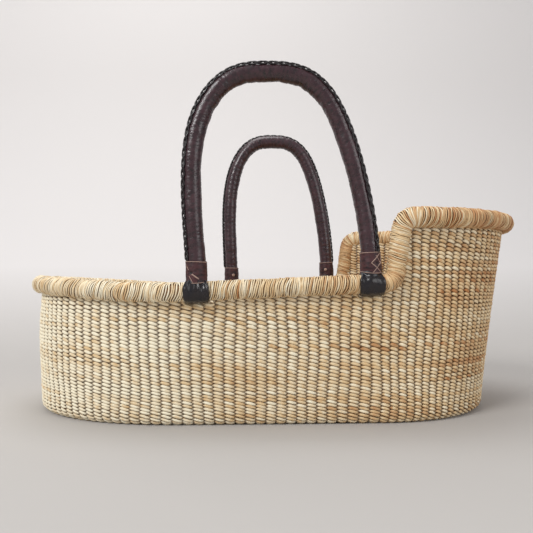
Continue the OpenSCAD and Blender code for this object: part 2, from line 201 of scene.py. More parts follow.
class BasketFinishes(bpy.types.PropertyGroup):
    """Colours of the grass, the leather and the thread."""

    pale_grass: colour("Pale grass", "Freshly dried blades", 253, 243, 216)
    straw: colour("Straw", "Most of the blades", 229, 198, 150)
    tan_grass: colour("Tan grass", "Weathered blades", 184, 126, 76)
    # Painted shade where blades dive between the stakes; also the stakes' own dark streaks
    streak_and_gap_shade: colour("Gap brown", "Where blades dive between the stakes", 84, 44, 26)
    stake_straw: colour("Stake straw", "The upright stakes", 150, 112, 68)
    brown_leather: colour("Brown leather", "Handle covers", 66, 38, 44)
    # Painted shade in the troughs of the covers' and cuffs' wrinkles
    crease_shade: colour("Creased leather", "Creases of the covers", 34, 22, 25)
    plait_leather: colour("Plait leather", "Plaited seams", 30, 22, 22)
    cuff_leather: colour("Cuff leather", "Cuffs over the handles' feet", 80, 47, 49)
    boot_leather: colour("Boot leather", "Boots round the rim", 17, 15, 24)
    thread: colour("Thread", "Thongs and thread over the cuffs", 196, 166, 150)


class StageSettings(bpy.types.PropertyGroup):
    """Camera, floor and lamps."""

    camera_place: FloatVectorProperty(name="Camera place", description="Where the camera stands",
                                      default=(-0.0407, -0.9541, 0.193), subtype="TRANSLATION",
                                      unit="LENGTH", size=3)
    camera_turn: angle("Camera turn", "How far the camera is turned to the head end", 2.5)
    camera_tilt: angle("Camera tilt", "How far the camera looks up", 1.54)
    camera_lens: FloatProperty(name="Lens", description="Focal length", default=38.97, min=10,
                               max=200, unit="CAMERA")
    floor_paint: colour("Floor", "Plain pale floor", 188, 184, 180)
    wall_paint: colour("Backdrop", "Plain pale backdrop", 218, 214, 212)


# ---- Small sums ----

def mix(a, b, k):
    return a + (b - a) * k


def ease(k):
    k = np.clip(k, 0, 1)
    return k * k * (3 - 2 * k)


def unit(v):
    return v / np.linalg.norm(v, axis=-1, keepdims=True)


def wander(seed, reach, count=7):
    """A smooth random surface about 1 high, with waves about as long as reach along each way."""
    rng = np.random.default_rng(seed)
    turn = rng.uniform(0, 2 * math.pi, count)
    pace = 2 * math.pi / rng.uniform(0.6, 1.7, count)
    start = rng.uniform(0, 2 * math.pi, count)

    def height(x, y=0.0):
        x, y = np.asarray(x) / reach[0], np.asarray(y) / reach[1]
        waves = [np.sin(p * (np.cos(t) * x + np.sin(t) * y) + s) for t, p, s in zip(turn, pace, start)]
        return sum(waves) / math.sqrt(count)

    return height


# ---- The basket's outline and rim ----

class Outline:
    """The way round the basket: distance from the foot end's middle, along the front and back."""

    QUARTER = 700
    STRAIGHT = 500

    def __init__(self, sizes):
        self.sizes = sizes
        half = np.linspace(0, math.pi / 2, self.QUARTER)
        power = 2 / sizes.end_power
        straight = np.linspace(sizes.foot_turn, sizes.head_turn, self.STRAIGHT)[1:-1]
        turn = np.concatenate([np.full(self.QUARTER, sizes.foot_turn), straight,
                               np.full(self.QUARTER, sizes.head_turn)])
        along = np.concatenate([-np.cos(half) ** power, np.zeros(len(straight)),
                                np.cos(half[::-1]) ** power])
        across = np.concatenate([np.sin(half) ** power, np.ones(len(straight)),
                                 np.sin(half[::-1]) ** power])
        self.turn = np.concatenate([turn, turn[::-1][1:]])
        self.along = np.concatenate([along, along[::-1][1:]])
        self.across = np.concatenate([-across, across[::-1][1:]])
        rim = self.trace(self.turn, self.along, self.across,
                         self.rim_foot, self.rim_head, self.rim_half)
        steps = np.linalg.norm(np.diff(rim, axis=0), axis=1)
        self.distance = np.concatenate([[0], np.cumsum(steps)])
        self.round = self.distance[-1]
        heights = self.rim_height(rim[:, 0])
        self.top_of_wall = self.under(rim, heights)

    @property
    def rim_foot(self):
        return -RIM_LOW.x - self.sizes.rim_radius

    @property
    def rim_head(self):
        return RIM_HIGH.x - self.sizes.rim_radius

    @property
    def rim_half(self):
        return RIM_HIGH.y - self.sizes.rim_radius

    @staticmethod
    def trace(turn, along, across, foot, head, half_width):
        """Points of an outline: straight sides between the turns, squared ellipses past them."""
        reach = np.where(along < 0, foot, head) - np.abs(turn)
        return np.stack([turn + along * reach, across * half_width], axis=-1)

    def at(self, d, foot, head, half_width):
        """Points of an outline with these reaches at distances d round the basket."""
        d = np.mod(d, self.round)
        marks = (self.turn, self.along, self.across)
        turn, along, across = (np.interp(d, self.distance, mark) for mark in marks)
        return self.trace(turn, along, across, foot, head, half_width)

    def side_height(self, x):
        """Height of the rim's centre along the straight sides, which slope with the hinges."""
        place = joint_of(FRONT)["pos_m"]
        return place[2] + RIM_SLOPE * (x - place[0])

    def rim_height(self, x):
        """Height of the rim's centre: foot end, sides, the climb's two bends, and head end."""
        s = self.sizes
        begin, steep, end = math.atan(RIM_SLOPE), s.step_angle, HEAD_SLOPE
        low_end_x = s.step_start + s.step_low_radius * (math.sin(steep) - math.sin(begin))
        low_rise = s.step_low_radius * (math.cos(begin) - math.cos(steep))
        low_end_z = self.side_height(s.step_start) + low_rise
        top_start_z = s.head_height - s.step_top_radius * (math.cos(end) - math.cos(steep))
        top_start_x = low_end_x + (top_start_z - low_end_z) / math.tan(steep)
        top_end_x = top_start_x + s.step_top_radius * (math.sin(steep) - math.sin(end))
        width = s.foot_turn + self.rim_foot
        k = np.clip((x + self.rim_foot) / width, 0, 1)
        foot = (s.foot_height * (2 * k**3 - 3 * k**2 + 1) + FOOT_SLOPE * width * (k**3 - 2 * k**2 + k)
                + self.side_height(s.foot_turn) * (3 * k**2 - 2 * k**3)
                + RIM_SLOPE * width * (k**3 - k**2))
        low = np.clip((x - s.step_start) / s.step_low_radius + math.sin(begin), -1, 1)
        low_bend = s.step_low_radius * (math.cos(begin) - np.sqrt(1 - low**2))
        low_arc = self.side_height(s.step_start) + low_bend
        top = np.clip(math.sin(steep) - (x - top_start_x) / s.step_top_radius, -1, 1)
        top_arc = top_start_z + s.step_top_radius * (np.sqrt(1 - top**2) - math.cos(steep))
        past = ease((x - top_end_x) / (self.rim_head - top_end_x))
        rest = mix(s.head_height, s.head_end_height, past)
        climb = low_end_z + (x - low_end_x) * math.tan(steep)
        self.climb = (low_end_x, top_end_x)
        return np.select(
            [x < s.foot_turn, x <= s.step_start, x <= low_end_x, x <= top_start_x, x <= top_end_x],
            [foot, self.side_height(x), low_arc, climb, top_arc],
            rest)

    def rim_thickness(self, x):
        """Radius of the wrapped rim, greatest at the top of the climb."""
        s = self.sizes
        swell = ease((x - self.climb[0]) / (self.climb[1] - self.climb[0]))
        thin = ease((x - self.climb[1]) / (self.rim_head - self.climb[1]))
        return mix(s.rim_radius, s.head_rim_radius, swell * (1 - thin))

    def under(self, rim, heights):
        """Height of the rim's underside over each station."""
        radius = self.rim_thickness(rim[:, 0])
        lowest = heights - radius
        for k in range(-40, 41):
            gap = np.linalg.norm(np.roll(rim[:-1], k, axis=0) - rim[:-1], axis=1)
            gap = np.append(gap, gap[0])
            near_z = np.append(np.roll(heights[:-1], k), np.roll(heights[:-1], k)[0])
            near_r = np.append(np.roll(radius[:-1], k), np.roll(radius[:-1], k)[0])
            reached = near_z - np.sqrt(np.maximum(near_r**2 - gap**2, 0))
            lowest = np.where(gap < near_r, np.minimum(lowest, reached), lowest)
        return lowest

    def rim_point(self, d):
        """The rim's centre at distances d."""
        flat = self.at(d, self.rim_foot, self.rim_head, self.rim_half)
        return np.column_stack([flat, self.rim_height(flat[:, 0])])

    def outward(self, d, step=2 * MM):
        """The level way out of the basket at distances d."""
        reaches = (self.rim_foot, self.rim_head, self.rim_half)
        before, after = (self.at(d + k, *reaches) for k in (-step, step))
        t = unit(after - before)
        return np.stack([t[..., 1], -t[..., 0], np.zeros(t.shape[:-1])], axis=-1)

    def wall(self, d, z, inset):
        """Points of the wall at distances d and heights z, this far in from its outside."""
        s = self.sizes
        corner = s.corner_radius
        x = self.at(d, self.rim_foot, self.rim_head, self.rim_half)[..., 0]

        def up(height, full):
            return np.clip((height - corner) / (full - corner), 0, 1)

        side_top = joint_of(FRONT)["pos_m"][2] - s.rim_radius
        head_top = s.head_height - s.rim_radius
        full = mix(side_top, s.head_height - s.head_rim_radius,
                   ease((x - s.flare_from) / (s.flare_to - s.flare_from)))
        swell = s.foot_swell * np.sin(math.pi * up(z, side_top) ** SWELL_POWER)
        foot = s.floor_reach + corner + swell - inset
        flare = s.head_flare * up(z, head_top) ** FLARE_POWER
        head = s.floor_reach + corner - s.head_tuck + flare - inset
        half = s.floor_half_width + corner + s.side_flare * up(z, full) - inset
        flat = self.at(d, foot, head, half)
        return np.concatenate([flat, np.broadcast_to(z, d.shape)[..., None]], axis=-1)

    def section(self, d, v, out):
        """Points on the middle of the wall, v up from the floor's edge, and out from the middle."""
        s = self.sizes
        bend = s.corner_radius - s.wall_thickness / 2
        turn = np.clip(v / bend, 0, math.pi / 2)
        rise = np.maximum(v - bend * math.pi / 2, 0)
        z = s.corner_radius - (bend + out) * np.cos(turn) + rise
        inset = s.corner_radius - (bend + out) * np.sin(turn)
        return self.wall(d, z, inset)


# ---- Making meshes ----

class Bundle:
    """Strands gathered into one piece, with the marks that its finish reads."""

    def __init__(self):
        self.points, self.faces, self.shade, self.grain, self.hollow = [], [], [], [], []
        self.count = 0
        self.strands = 0

    def add(self, points, quads, caps, shade, grain, hollow):
        self.points.append(points)
        self.faces.append(quads + self.count)
        self.faces += [(cap + self.count)[None, :] for cap in caps]
        self.shade.append(shade)
        self.grain.append(grain)
        self.hollow.append(hollow)
        self.count += len(points)
        self.strands += 1

    def tube(self, centres, wide, thick, half_width, half_thick, shade=EVEN_SHADE, hollow=0.0,
             edge=0.0, upper=1.0, closed=False, sides=6):
        """A strand along centres, half_width along wide and half_thick along thick; edge paints shade
        along both its edges, on the one on wide's side only a share upper of that."""
        rows = len(centres)
        a = np.linspace(0, 2 * math.pi, sides, endpoint=False)
        c, s = np.cos(a), np.sin(a)
        half_width, half_thick = (np.broadcast_to(h, rows) for h in (half_width, half_thick))
        rings = (centres[:, None, :] + (half_width[:, None] * c)[..., None] * wide[:, None, :]
                 + (half_thick[:, None] * s)[..., None] * thick[:, None, :])
        steps = np.linalg.norm(np.diff(centres, axis=0), axis=1)
        along = np.concatenate([[0], np.cumsum(steps)])
        grain = np.stack(np.broadcast_arrays(along[:, None], c + 2.7 * self.strands, s), axis=-1)
        last = rows if closed else rows - 1
        i = np.arange(last)[:, None] * sides
        j = np.arange(sides)[None, :]
        k = (j + 1) % sides
        nxt = (np.arange(last)[:, None] + 1) % rows * sides
        quads = np.stack(np.broadcast_arrays(i + j, i + k, nxt + k, nxt + j), axis=-1).reshape(-1, 4)
        caps = [] if closed else [np.arange(sides)[::-1], (rows - 1) * sides + np.arange(sides)]
        shades = np.broadcast_to(np.reshape(shade, (-1, 1)), (rows, sides)).reshape(-1)
        # Painted shade along both edges of the strand, on wide's side only a share upper of it
        edge_shade = edge * (1 - np.abs(s) / np.abs(s).max()) * np.where(c > 0, upper, 1)
        painted_shades = np.broadcast_to(np.reshape(hollow, (-1, 1)), (rows, sides))
        painted_shades = np.maximum(painted_shades, edge_shade).reshape(-1)
        self.add(rings.reshape(-1, 3), quads, caps, shades, grain.reshape(-1, 3), painted_shades)

    def grid(self, points, grain, hollow=0.0, along=True):
        """A surface through rows of points, each row a ring; along joins the last row to the first."""
        rows, sides = points.shape[:2]
        i = np.arange(rows if along else rows - 1)[:, None]
        j = np.arange(sides)[None, :]
        nxt, k = (i + 1) % rows, (j + 1) % sides
        quads = np.stack(np.broadcast_arrays(i * sides + j, i * sides + k, nxt * sides + k,
                                             nxt * sides + j), axis=-1).reshape(-1, 4)
        painted_shades = np.broadcast_to(hollow, (rows, sides)).reshape(-1)
        shades = np.full(rows * sides, EVEN_SHADE)
        self.add(points.reshape(-1, 3), quads, [], shades, grain.reshape(-1, 3), painted_shades)

    def piece(self, name, material):
        """The Blender object that holds every strand."""
        points = np.concatenate(self.points).astype(np.float32)
        sizes = np.concatenate([np.full(len(f), f.shape[1]) for f in self.faces]).astype(np.int32)
        corners = np.concatenate([f.reshape(-1) for f in self.faces]).astype(np.int32)
        starts = np.concatenate([[0], np.cumsum(sizes)[:-1]]).astype(np.int32)
        mesh = bpy.data.meshes.new(name)
        mesh.vertices.add(len(points))
        mesh.vertices.foreach_set("co", points.reshape(-1))
        mesh.loops.add(len(corners))
        mesh.loops.foreach_set("vertex_index", corners)
        mesh.polygons.add(len(sizes))
        mesh.polygons.foreach_set("loop_start", starts)
        mesh.update(calc_edges=True)
        mesh.validate()
        mesh.polygons.foreach_set("use_smooth", np.ones(len(mesh.polygons), bool))
        for title, values in (("shade", self.shade), ("hollow", self.hollow)):
            mark = mesh.attributes.new(title, "FLOAT", "POINT")
            mark.data.foreach_set("value", np.concatenate(values).astype(np.float32))
        mark = mesh.attributes.new("grain", "FLOAT_VECTOR", "POINT")
        mark.data.foreach_set("vector", np.concatenate(self.grain).astype(np.float32).reshape(-1))
        mesh.materials.append(material)
        obj = bpy.data.objects.new(name, mesh)
        bpy.context.scene.collection.objects.link(obj)
        return obj


def place(obj, body, slot, *nodes):
    """Puts a piece on its body in place of the CAD nodes it stands for."""
    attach(obj, body)
    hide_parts(*nodes)


# ---- Finishes ----

class Finish:
    """A material under construction."""

    def __init__(self, name, roughness=0.5, specular=0.5):
        self.material = bpy.data.materials.new(name)
        self.material.use_nodes = True
        self.tree = self.material.node_tree
        self.shader = self.tree.nodes["Principled BSDF"]
        self.shader.inputs["Roughness"].default_value = roughness
        self.shader.inputs["Specular IOR Level"].default_value = specular

    def node(self, kind, **settings):
        node = self.tree.nodes.new(kind)
        for key, value in settings.items():
            setattr(node, key, value)
        return node

    def link(self, source, target):
        self.tree.links.new(source, target)

    def mark(self, title, output="Fac"):
        return self.node("ShaderNodeAttribute", attribute_name=title).outputs[output]

    def scaled(self, source, scale):
        """A place to look up a pattern, scaled each way."""
        times = self.node("ShaderNodeVectorMath", operation="MULTIPLY")
        times.inputs[1].default_value = scale
        self.link(source, times.inputs[0])
        return times.outputs["Vector"]

    def stretched(self, title, scale):
        return self.scaled(self.mark(title, "Vector"), scale)

    def here(self, scale):
        return self.scaled(self.node("ShaderNodeTexCoord").outputs["Object"], scale)

    def noise(self, where, detail):
        noise = self.node("ShaderNodeTexNoise")
        noise.inputs["Scale"].default_value = 1.0
        noise.inputs["Detail"].default_value = detail
        noise.inputs["Roughness"].default_value = 0.55
        self.link(where, noise.inputs["Vector"])
        return noise.outputs["Fac"]

    def span(self, value, low, high, from_low=0.3, from_high=0.7):
        """The value, spread from one range to another."""
        spread = self.node("ShaderNodeMapRange")
        limits = {"From Min": from_low, "From Max": from_high, "To Min": low, "To Max": high}
        for key, number in limits.items():
            spread.inputs[key].default_value = number
        self.link(value, spread.inputs["Value"])
        return spread.outputs["Result"]

    def maths(self, operation, first, second):
        answer = self.node("ShaderNodeMath", operation=operation, use_clamp=True)
        self.link(first, answer.inputs[0])
        self.link(second, answer.inputs[1])
        return answer.outputs["Value"]

    def ramp(self, value, *stops):
        ramp = self.node("ShaderNodeValToRGB")
        elements = ramp.color_ramp.elements
        while len(elements) < len(stops):
            elements.new(0.5)
        for element, (position, paint) in zip(elements, stops):
            element.position = position
            element.color = (*paint, 1)
        self.link(value, ramp.inputs["Fac"])
        return ramp.outputs["Color"]

    def blend(self, factor, first, second):
        """The first paint where factor is 0, the second where it is 1."""
        mixer = self.node("ShaderNodeMix", data_type="RGBA")
        self.link(factor, mixer.inputs[0])
        for value, index in ((first, 6), (second, 7)):
            if isinstance(value, bpy.types.NodeSocket):
                self.link(value, mixer.inputs[index])
            else:
                mixer.inputs[index].default_value = (*value, 1)
        return mixer.outputs[2]

    def bump(self, height, strength, distance):
        bump = self.node("ShaderNodeBump")
        bump.inputs["Strength"].default_value = strength
        bump.inputs["Distance"].default_value = distance
        self.link(height, bump.inputs["Height"])
        self.link(bump.outputs["Normal"], self.shader.inputs["Normal"])

    def paint(self, paint):
        self.link(paint, self.shader.inputs["Base Color"])

    def roughness(self, value):
        self.link(value, self.shader.inputs["Roughness"])


def grass_finish(name):
    """Dry grass: each blade has its own shade and fine streaks; painted shade turns it brown where it
    dives in and along its edges, and painted light and shade make it lighter towards the foot end and
    darker towards the head end.
    """
    colours = bpy.context.scene.basket_finishes
    finish = Finish(name, specular=0.35)
    streak = finish.noise(finish.stretched("grain", (26, 2.6, 2.6)), detail=4)
    fibre = finish.noise(finish.stretched("grain", (60, 9, 9)), detail=2)
    patch = finish.noise(finish.here((9, 9, 9)), detail=2)
    tone = finish.maths("ADD", finish.mark("shade"), finish.span(streak, -0.16, 0.16))
    tone = finish.maths("ADD", tone, finish.span(patch, -0.08, 0.08))
    # Painted light and shade: the grass is painted lighter towards the foot end and darker towards the
    # head end, away from the key lamp
    spot = finish.node("ShaderNodeSeparateXYZ")
    finish.link(finish.here((1, 1, 1)), spot.inputs[0])
    tone = finish.maths("ADD", tone, finish.span(spot.outputs["X"], 0.12, -0.36, -0.3, 0.38))
    grass = finish.ramp(tone, (0.0, colours.tan_grass), (0.42, colours.straw),
                        (0.85, colours.pale_grass))
    # Painted shade: the grass turns dark brown where the strand dives in behind a stake and along its
    # edges
    finish.paint(finish.blend(finish.mark("hollow"), grass, tuple(colours.streak_and_gap_shade)))
    finish.roughness(finish.span(fibre, 0.42, 0.7))
    finish.bump(fibre, 0.5, 0.25 * MM)
    return finish.material


def stake_finish(name):
    """Dull straw, streaked with the dark brown that also paints the shade where blades dive in."""
    colours = bpy.context.scene.basket_finishes
    finish = Finish(name, roughness=0.7, specular=0.3)
    streak = finish.noise(finish.stretched("grain", (30, 3, 3)), detail=3)
    finish.paint(finish.ramp(streak, (0.3, colours.streak_and_gap_shade), (0.7, colours.stake_straw)))
    finish.bump(streak, 0.4, 0.2 * MM)
    return finish.material


def bundle_finish(name):
    """Straw packed end to end, for the grass that only its neighbours touch."""
    colours = bpy.context.scene.basket_finishes
    finish = Finish(name, roughness=0.75, specular=0.3)
    straws = finish.noise(finish.here((90, 700, 700)), detail=3)
    finish.paint(finish.ramp(straws, (0.3, colours.tan_grass), (0.7, colours.straw)))
    finish.bump(straws, 0.5, 0.4 * MM)
    return finish.material


def leather_finish(name, skin, crease, roughness, specular, along=260.0):
    """Leather: pores and fine wrinkles across the strand or grip; painted shade darkens the wrinkles'
    troughs to the crease colour, more in random patches, and paints near black in holes and along
    thongs' edges.
    """
    finish = Finish(name, specular=specular)
    wrinkle = finish.noise(finish.stretched("grain", (along, 1.6, 1.6)), detail=4)
    cloud = finish.noise(finish.here((45, 45, 45)), detail=3)
    pores = finish.node("ShaderNodeTexVoronoi")
    pores.inputs["Scale"].default_value = 900
    finish.link(finish.node("ShaderNodeTexCoord").outputs["Object"], pores.inputs["Vector"])
    # Painted shade: the wrinkles' troughs, which the bump sinks, take the crease colour; random
    # patches darken too
    smooth = finish.span(wrinkle, 0.0, 1.0, 0.32, 0.56)
    skin_share = finish.maths("MULTIPLY", smooth, finish.span(cloud, 0.55, 1.0))
    leather = finish.blend(skin_share, tuple(crease), tuple(skin))
    # Painted shade: near black where a strand's shade mark is set, in a cuff's lace hole and along the
    # plait's thong edges
    finish.paint(finish.blend(finish.mark("hollow"), leather, (0.004, 0.003, 0.003)))
    finish.roughness(finish.span(cloud, roughness - 0.07, roughness + 0.1))
    pits = finish.span(pores.outputs["Distance"], 0, 0.2, 0, 0.6)
    height = finish.maths("ADD", finish.span(wrinkle, 0, 0.8), pits)
    finish.bump(height, 0.55, 0.45 * MM)
    return finish.material


def thread_finish(name):
    """Twisted thread, darkened by the leather that it rubs."""
    colours = bpy.context.scene.basket_finishes
    finish = Finish(name, roughness=0.6, specular=0.4)
    twist = finish.noise(finish.stretched("grain", (900, 2, 2)), detail=2)
    light, dark = tuple(colours.thread), tuple(colours.cuff_leather)
    finish.paint(finish.blend(finish.span(twist, 0, 0.6), light, dark))
    finish.bump(twist, 0.5, 0.2 * MM)
    return finish.material


# ---- Weaving ----

def blade_shades(rng, along, longest, pale=0.62, spread=0.1):
    """A shade for each place along a strand, changing where the next blade of grass starts."""
    shortest, tan_share, tan_depth, speckle = 0.25, 0.05, 0.68, 0.06
    blades = int(along[-1] / (shortest * longest)) + 3
    ends = np.cumsum(rng.uniform(shortest, 1.0, blades) * longest)
    shades = rng.normal(pale, spread, len(ends) + 1)
    tanned = rng.random(len(shades)) < tan_share
    shades = np.where(tanned, shades * tan_depth, shades)
    return np.clip(shades[np.searchsorted(ends, along)] + rng.normal(0, speckle, len(along)), 0, 1)


def runs_of(mask):
    """Stretches of a closed ring where mask holds, as lists of places; None for the whole ring."""
    if mask.all():
        return None
    if not mask.any():
        return []
    start = int(np.flatnonzero(~mask)[0])
    turned = np.roll(mask, -start)
    edges = np.flatnonzero(np.diff(np.concatenate([[0], turned.astype(int), [0]])))
    return [(np.arange(a, b) + start) % len(mask) for a, b in zip(edges[::2], edges[1::2])]


class Weaver:
    """Twines pairs of strands round stakes, course by course."""

    # Turns of the twining at which a strand is drawn, closest where it shows between two stakes
    TURNS = np.radians([-102, -72, -36, 8, 46, 76, 104, 160, 215])
    # How much sooner a strand comes out, and dives in, than it has slid halfway down its course
    EARLY = math.radians(17)

    def __init__(self, outline, weave):
        self.outline = outline
        self.weave = weave
        self.stray = wander(11, (0.16, 0.09))
        self.lift = wander(12, (0.11, 0.05))
        self.waver = wander(13, (0.05, 0.004))
        self.patch = wander(14, (0.13, 0.07))
        self.pitch = outline.round / weave.stake_count

    def courses(self):
        """How far up the wall each course lies, from the floor's edge, and its height."""
        w, v, found = self.weave, 0.0, []
        highest = self.outline.sizes.head_end_height + 20 * MM
        while v < highest:
            pitch = mix(w.low_course, w.high_course, float(ease(v / COURSE_GROWTH)))
            found.append((v + pitch / 2, pitch))
            v += pitch
        return found

    def strayed(self, d, v):
        """Distances round the basket of stakes that don't stand quite straight."""
        return d + 1.6 * MM * self.stray(d, v)

    def under_boots(self, rim):
        """Which of these places on the rim lie under a boot."""
        near = np.zeros(len(rim), bool)
        for side, middle in boot_places():
            near |= (np.abs(rim[:, 0] - middle.x) < BOOT_STRANDS) & (np.sign(rim[:, 1]) == side)
        return near

    def course(self, bundle, index, v, pitch):
        """One course of twining: two strands that cross between stakes, tucked under the boots."""
        w, o = self.weave, self.outline
        bend = o.sizes.corner_radius - o.sizes.wall_thickness / 2
        z = max(v - bend * math.pi / 2, 0) + o.sizes.corner_radius
        whole = np.arange(w.stake_count // 2) * 2
        tone = np.random.default_rng([index, 4]).normal(0.72, 0.045)
        for strand in (0, 1):
            rng = np.random.default_rng([index, strand, 5])
            turn = np.tile(self.TURNS, len(whole))
            d = (np.repeat(whole, len(self.TURNS)) + turn / math.pi - strand) * self.pitch
            rim = o.rim_point(d)
            gap = rim[:, 2] - z
            boots = self.under_boots(rim)
            push = np.where(boots, np.maximum(BOOT_DEPTH - gap, 0), 0)
            runs = runs_of((gap > 0.25 * o.rim_thickness(rim[:, 0])) & (push < pitch))
            bow = np.cos(turn + self.EARLY)
            level = (v + 0.45 * MM * self.lift(d, v) + 0.18 * MM * self.waver(d, v)
                     - 0.3 * pitch * np.sin(turn) - push)
            amount = w.stake_radius + 0.3 * w.strand_thickness
            out = amount * np.sign(bow) * np.abs(bow) ** 0.5 + 0.2 * MM * self.waver(d + 1, 2 * v)
            strayed = self.strayed(d, v)
            centres = o.section(strayed, level, out)
            rise = unit(o.section(strayed, level + 0.5 * MM, out) - centres)
            shade = blade_shades(rng, d - d[0], w.blade, pale=tone) + 0.07 * self.patch(d, v)
            fat = rng.uniform(0.94, 1.06)
            half_width = fat * pitch * (0.17 + 0.37 * np.abs(bow) ** 0.7)
            half_thick = fat * w.strand_thickness / 2 * (0.75 + 0.3 * np.abs(bow))
            # Painted shade where the strand dives in behind a stake
            hollow = 1 - ease((bow + 0.14) / 0.48)
            hollow = np.where(bow < -0.4, 0.15, hollow)
            normal = unit(np.cross(unit(np.roll(centres, -1, 0) - np.roll(centres, 1, 0)), rise))
            normal *= np.sign(np.sum(normal * o.outward(d), axis=1))[:, None]
            whole_ring = runs is None
            # Painted shade along each strand's edges, the lower edge darker than the upper
            for run in [slice(None)] if whole_ring else [r for r in runs if len(r) > 2]:
                bundle.tube(centres[run], rise[run], normal[run], half_width[run], half_thick[run],
                            shade=shade[run], hollow=hollow[run], edge=0.72, upper=0.3,
                            closed=whole_ring)

    def stake(self, bundle, index):
        """One stake, from the floor's edge up into the rim, or to just under a boot."""
        w, o = self.weave, self.outline
        d = index * self.pitch
        top = np.interp(d, o.distance, o.top_of_wall) + 4 * MM
        rim = o.rim_point(np.array([d]))[0]
        bend = o.sizes.corner_radius - o.sizes.wall_thickness / 2
        high = top - o.sizes.corner_radius + bend * math.pi / 2
        for side, middle in boot_places():
            if abs(rim[0] - middle.x) < BOOT_STAKES and rim[1] * side > 0:
                high -= STAKE_TUCK
        v = np.linspace(0.5 * MM, high, max(6, int(high / (14 * MM))))
        centres = o.section(self.strayed(d, v), v, 0.0)
        way = unit(np.gradient(centres, axis=0))
        out = np.broadcast_to(o.outward(np.array([d]))[0], centres.shape)
        wide = unit(np.cross(way, out))
        thick = np.cross(wide, way)
        bundle.tube(centres, wide, thick, w.stake_radius, w.stake_radius)


def floor_ring(outline, inset):
    """Points and distances of one course of the floor, this far in from its edge, as a dense ring."""
    s = outline.sizes
    d = np.linspace(0, outline.round, 1600, endpoint=False)
    ring = outline.at(d, s.floor_reach - inset, s.floor_reach - s.head_tuck - inset,
                      s.floor_half_width - inset)
    steps = np.linalg.norm(np.roll(ring, -1, axis=0) - ring, axis=1)
    return ring, np.concatenate([[0], np.cumsum(steps)])


def floor_course(bundle, outline, weave, index, inset, stake_pitch):
    """One ring of twining; along the straight sides its stakes line up with every other course's."""
    ring, distance = floor_ring(outline, inset)
    closed = np.vstack([ring, ring[:1]])
    s = outline.sizes
    straight = round((s.head_turn - s.foot_turn) / stake_pitch)
    whole = distance[-1]
    on_side = (ring[:, 0] >= s.foot_turn) & (ring[:, 0] <= s.head_turn)
    front, back = (np.flatnonzero((ring[:, 1] * side > 0) & on_side) for side in (FRONT, BACK))
    knots_d = [distance[front[0]], distance[front[-1]], distance[back[0]], distance[back[-1]]]
    head = max(2, 2 * round((knots_d[2] - knots_d[1]) / stake_pitch / 2))
    foot = max(2, 2 * round((knots_d[0] + whole - knots_d[3]) / stake_pitch / 2))
    knots_n = np.cumsum([foot / 2, straight, head, straight])
    total = int(knots_n[-1] + foot / 2)
    per_stake = 4
    n = np.arange(total * per_stake) / per_stake
    d = np.interp(n, [0, *knots_n, total], [0, *knots_d, whole])
    flat = np.column_stack([np.interp(d, distance, closed[:, k]) for k in (0, 1)])
    along = unit(np.roll(flat, -1, axis=0) - np.roll(flat, 1, axis=0))
    across = np.column_stack([-along[:, 1], along[:, 0], np.zeros(len(flat))])
    down = np.broadcast_to([0.0, 0.0, -1.0], across.shape)
    for strand in (0, 1):
        rng = np.random.default_rng([index, strand, 9])
        bow = np.cos(n * math.pi + strand * math.pi)
        slide = 0.2 * weave.floor_pitch * np.sin(n * math.pi + strand * math.pi)
        half_thick = weave.strand_thickness / 2 * 0.85
        reach = s.wall_thickness / 2 - half_thick
        centres = np.column_stack([flat, s.wall_thickness / 2 - reach * bow])
        centres = centres + across * slide[:, None]
        shade = blade_shades(rng, d + rng.uniform(0, 0.2), weave.blade, pale=0.5)
        # Painted shade where the strand passes between the stakes
        hollow = 0.6 * (1 - np.abs(bow))
        half_width = weave.floor_pitch * (0.36 + 0.16 * np.abs(bow))
        bundle.tube(centres, across, down, half_width, half_thick, shade=shade, hollow=hollow,
                    closed=True, sides=5)


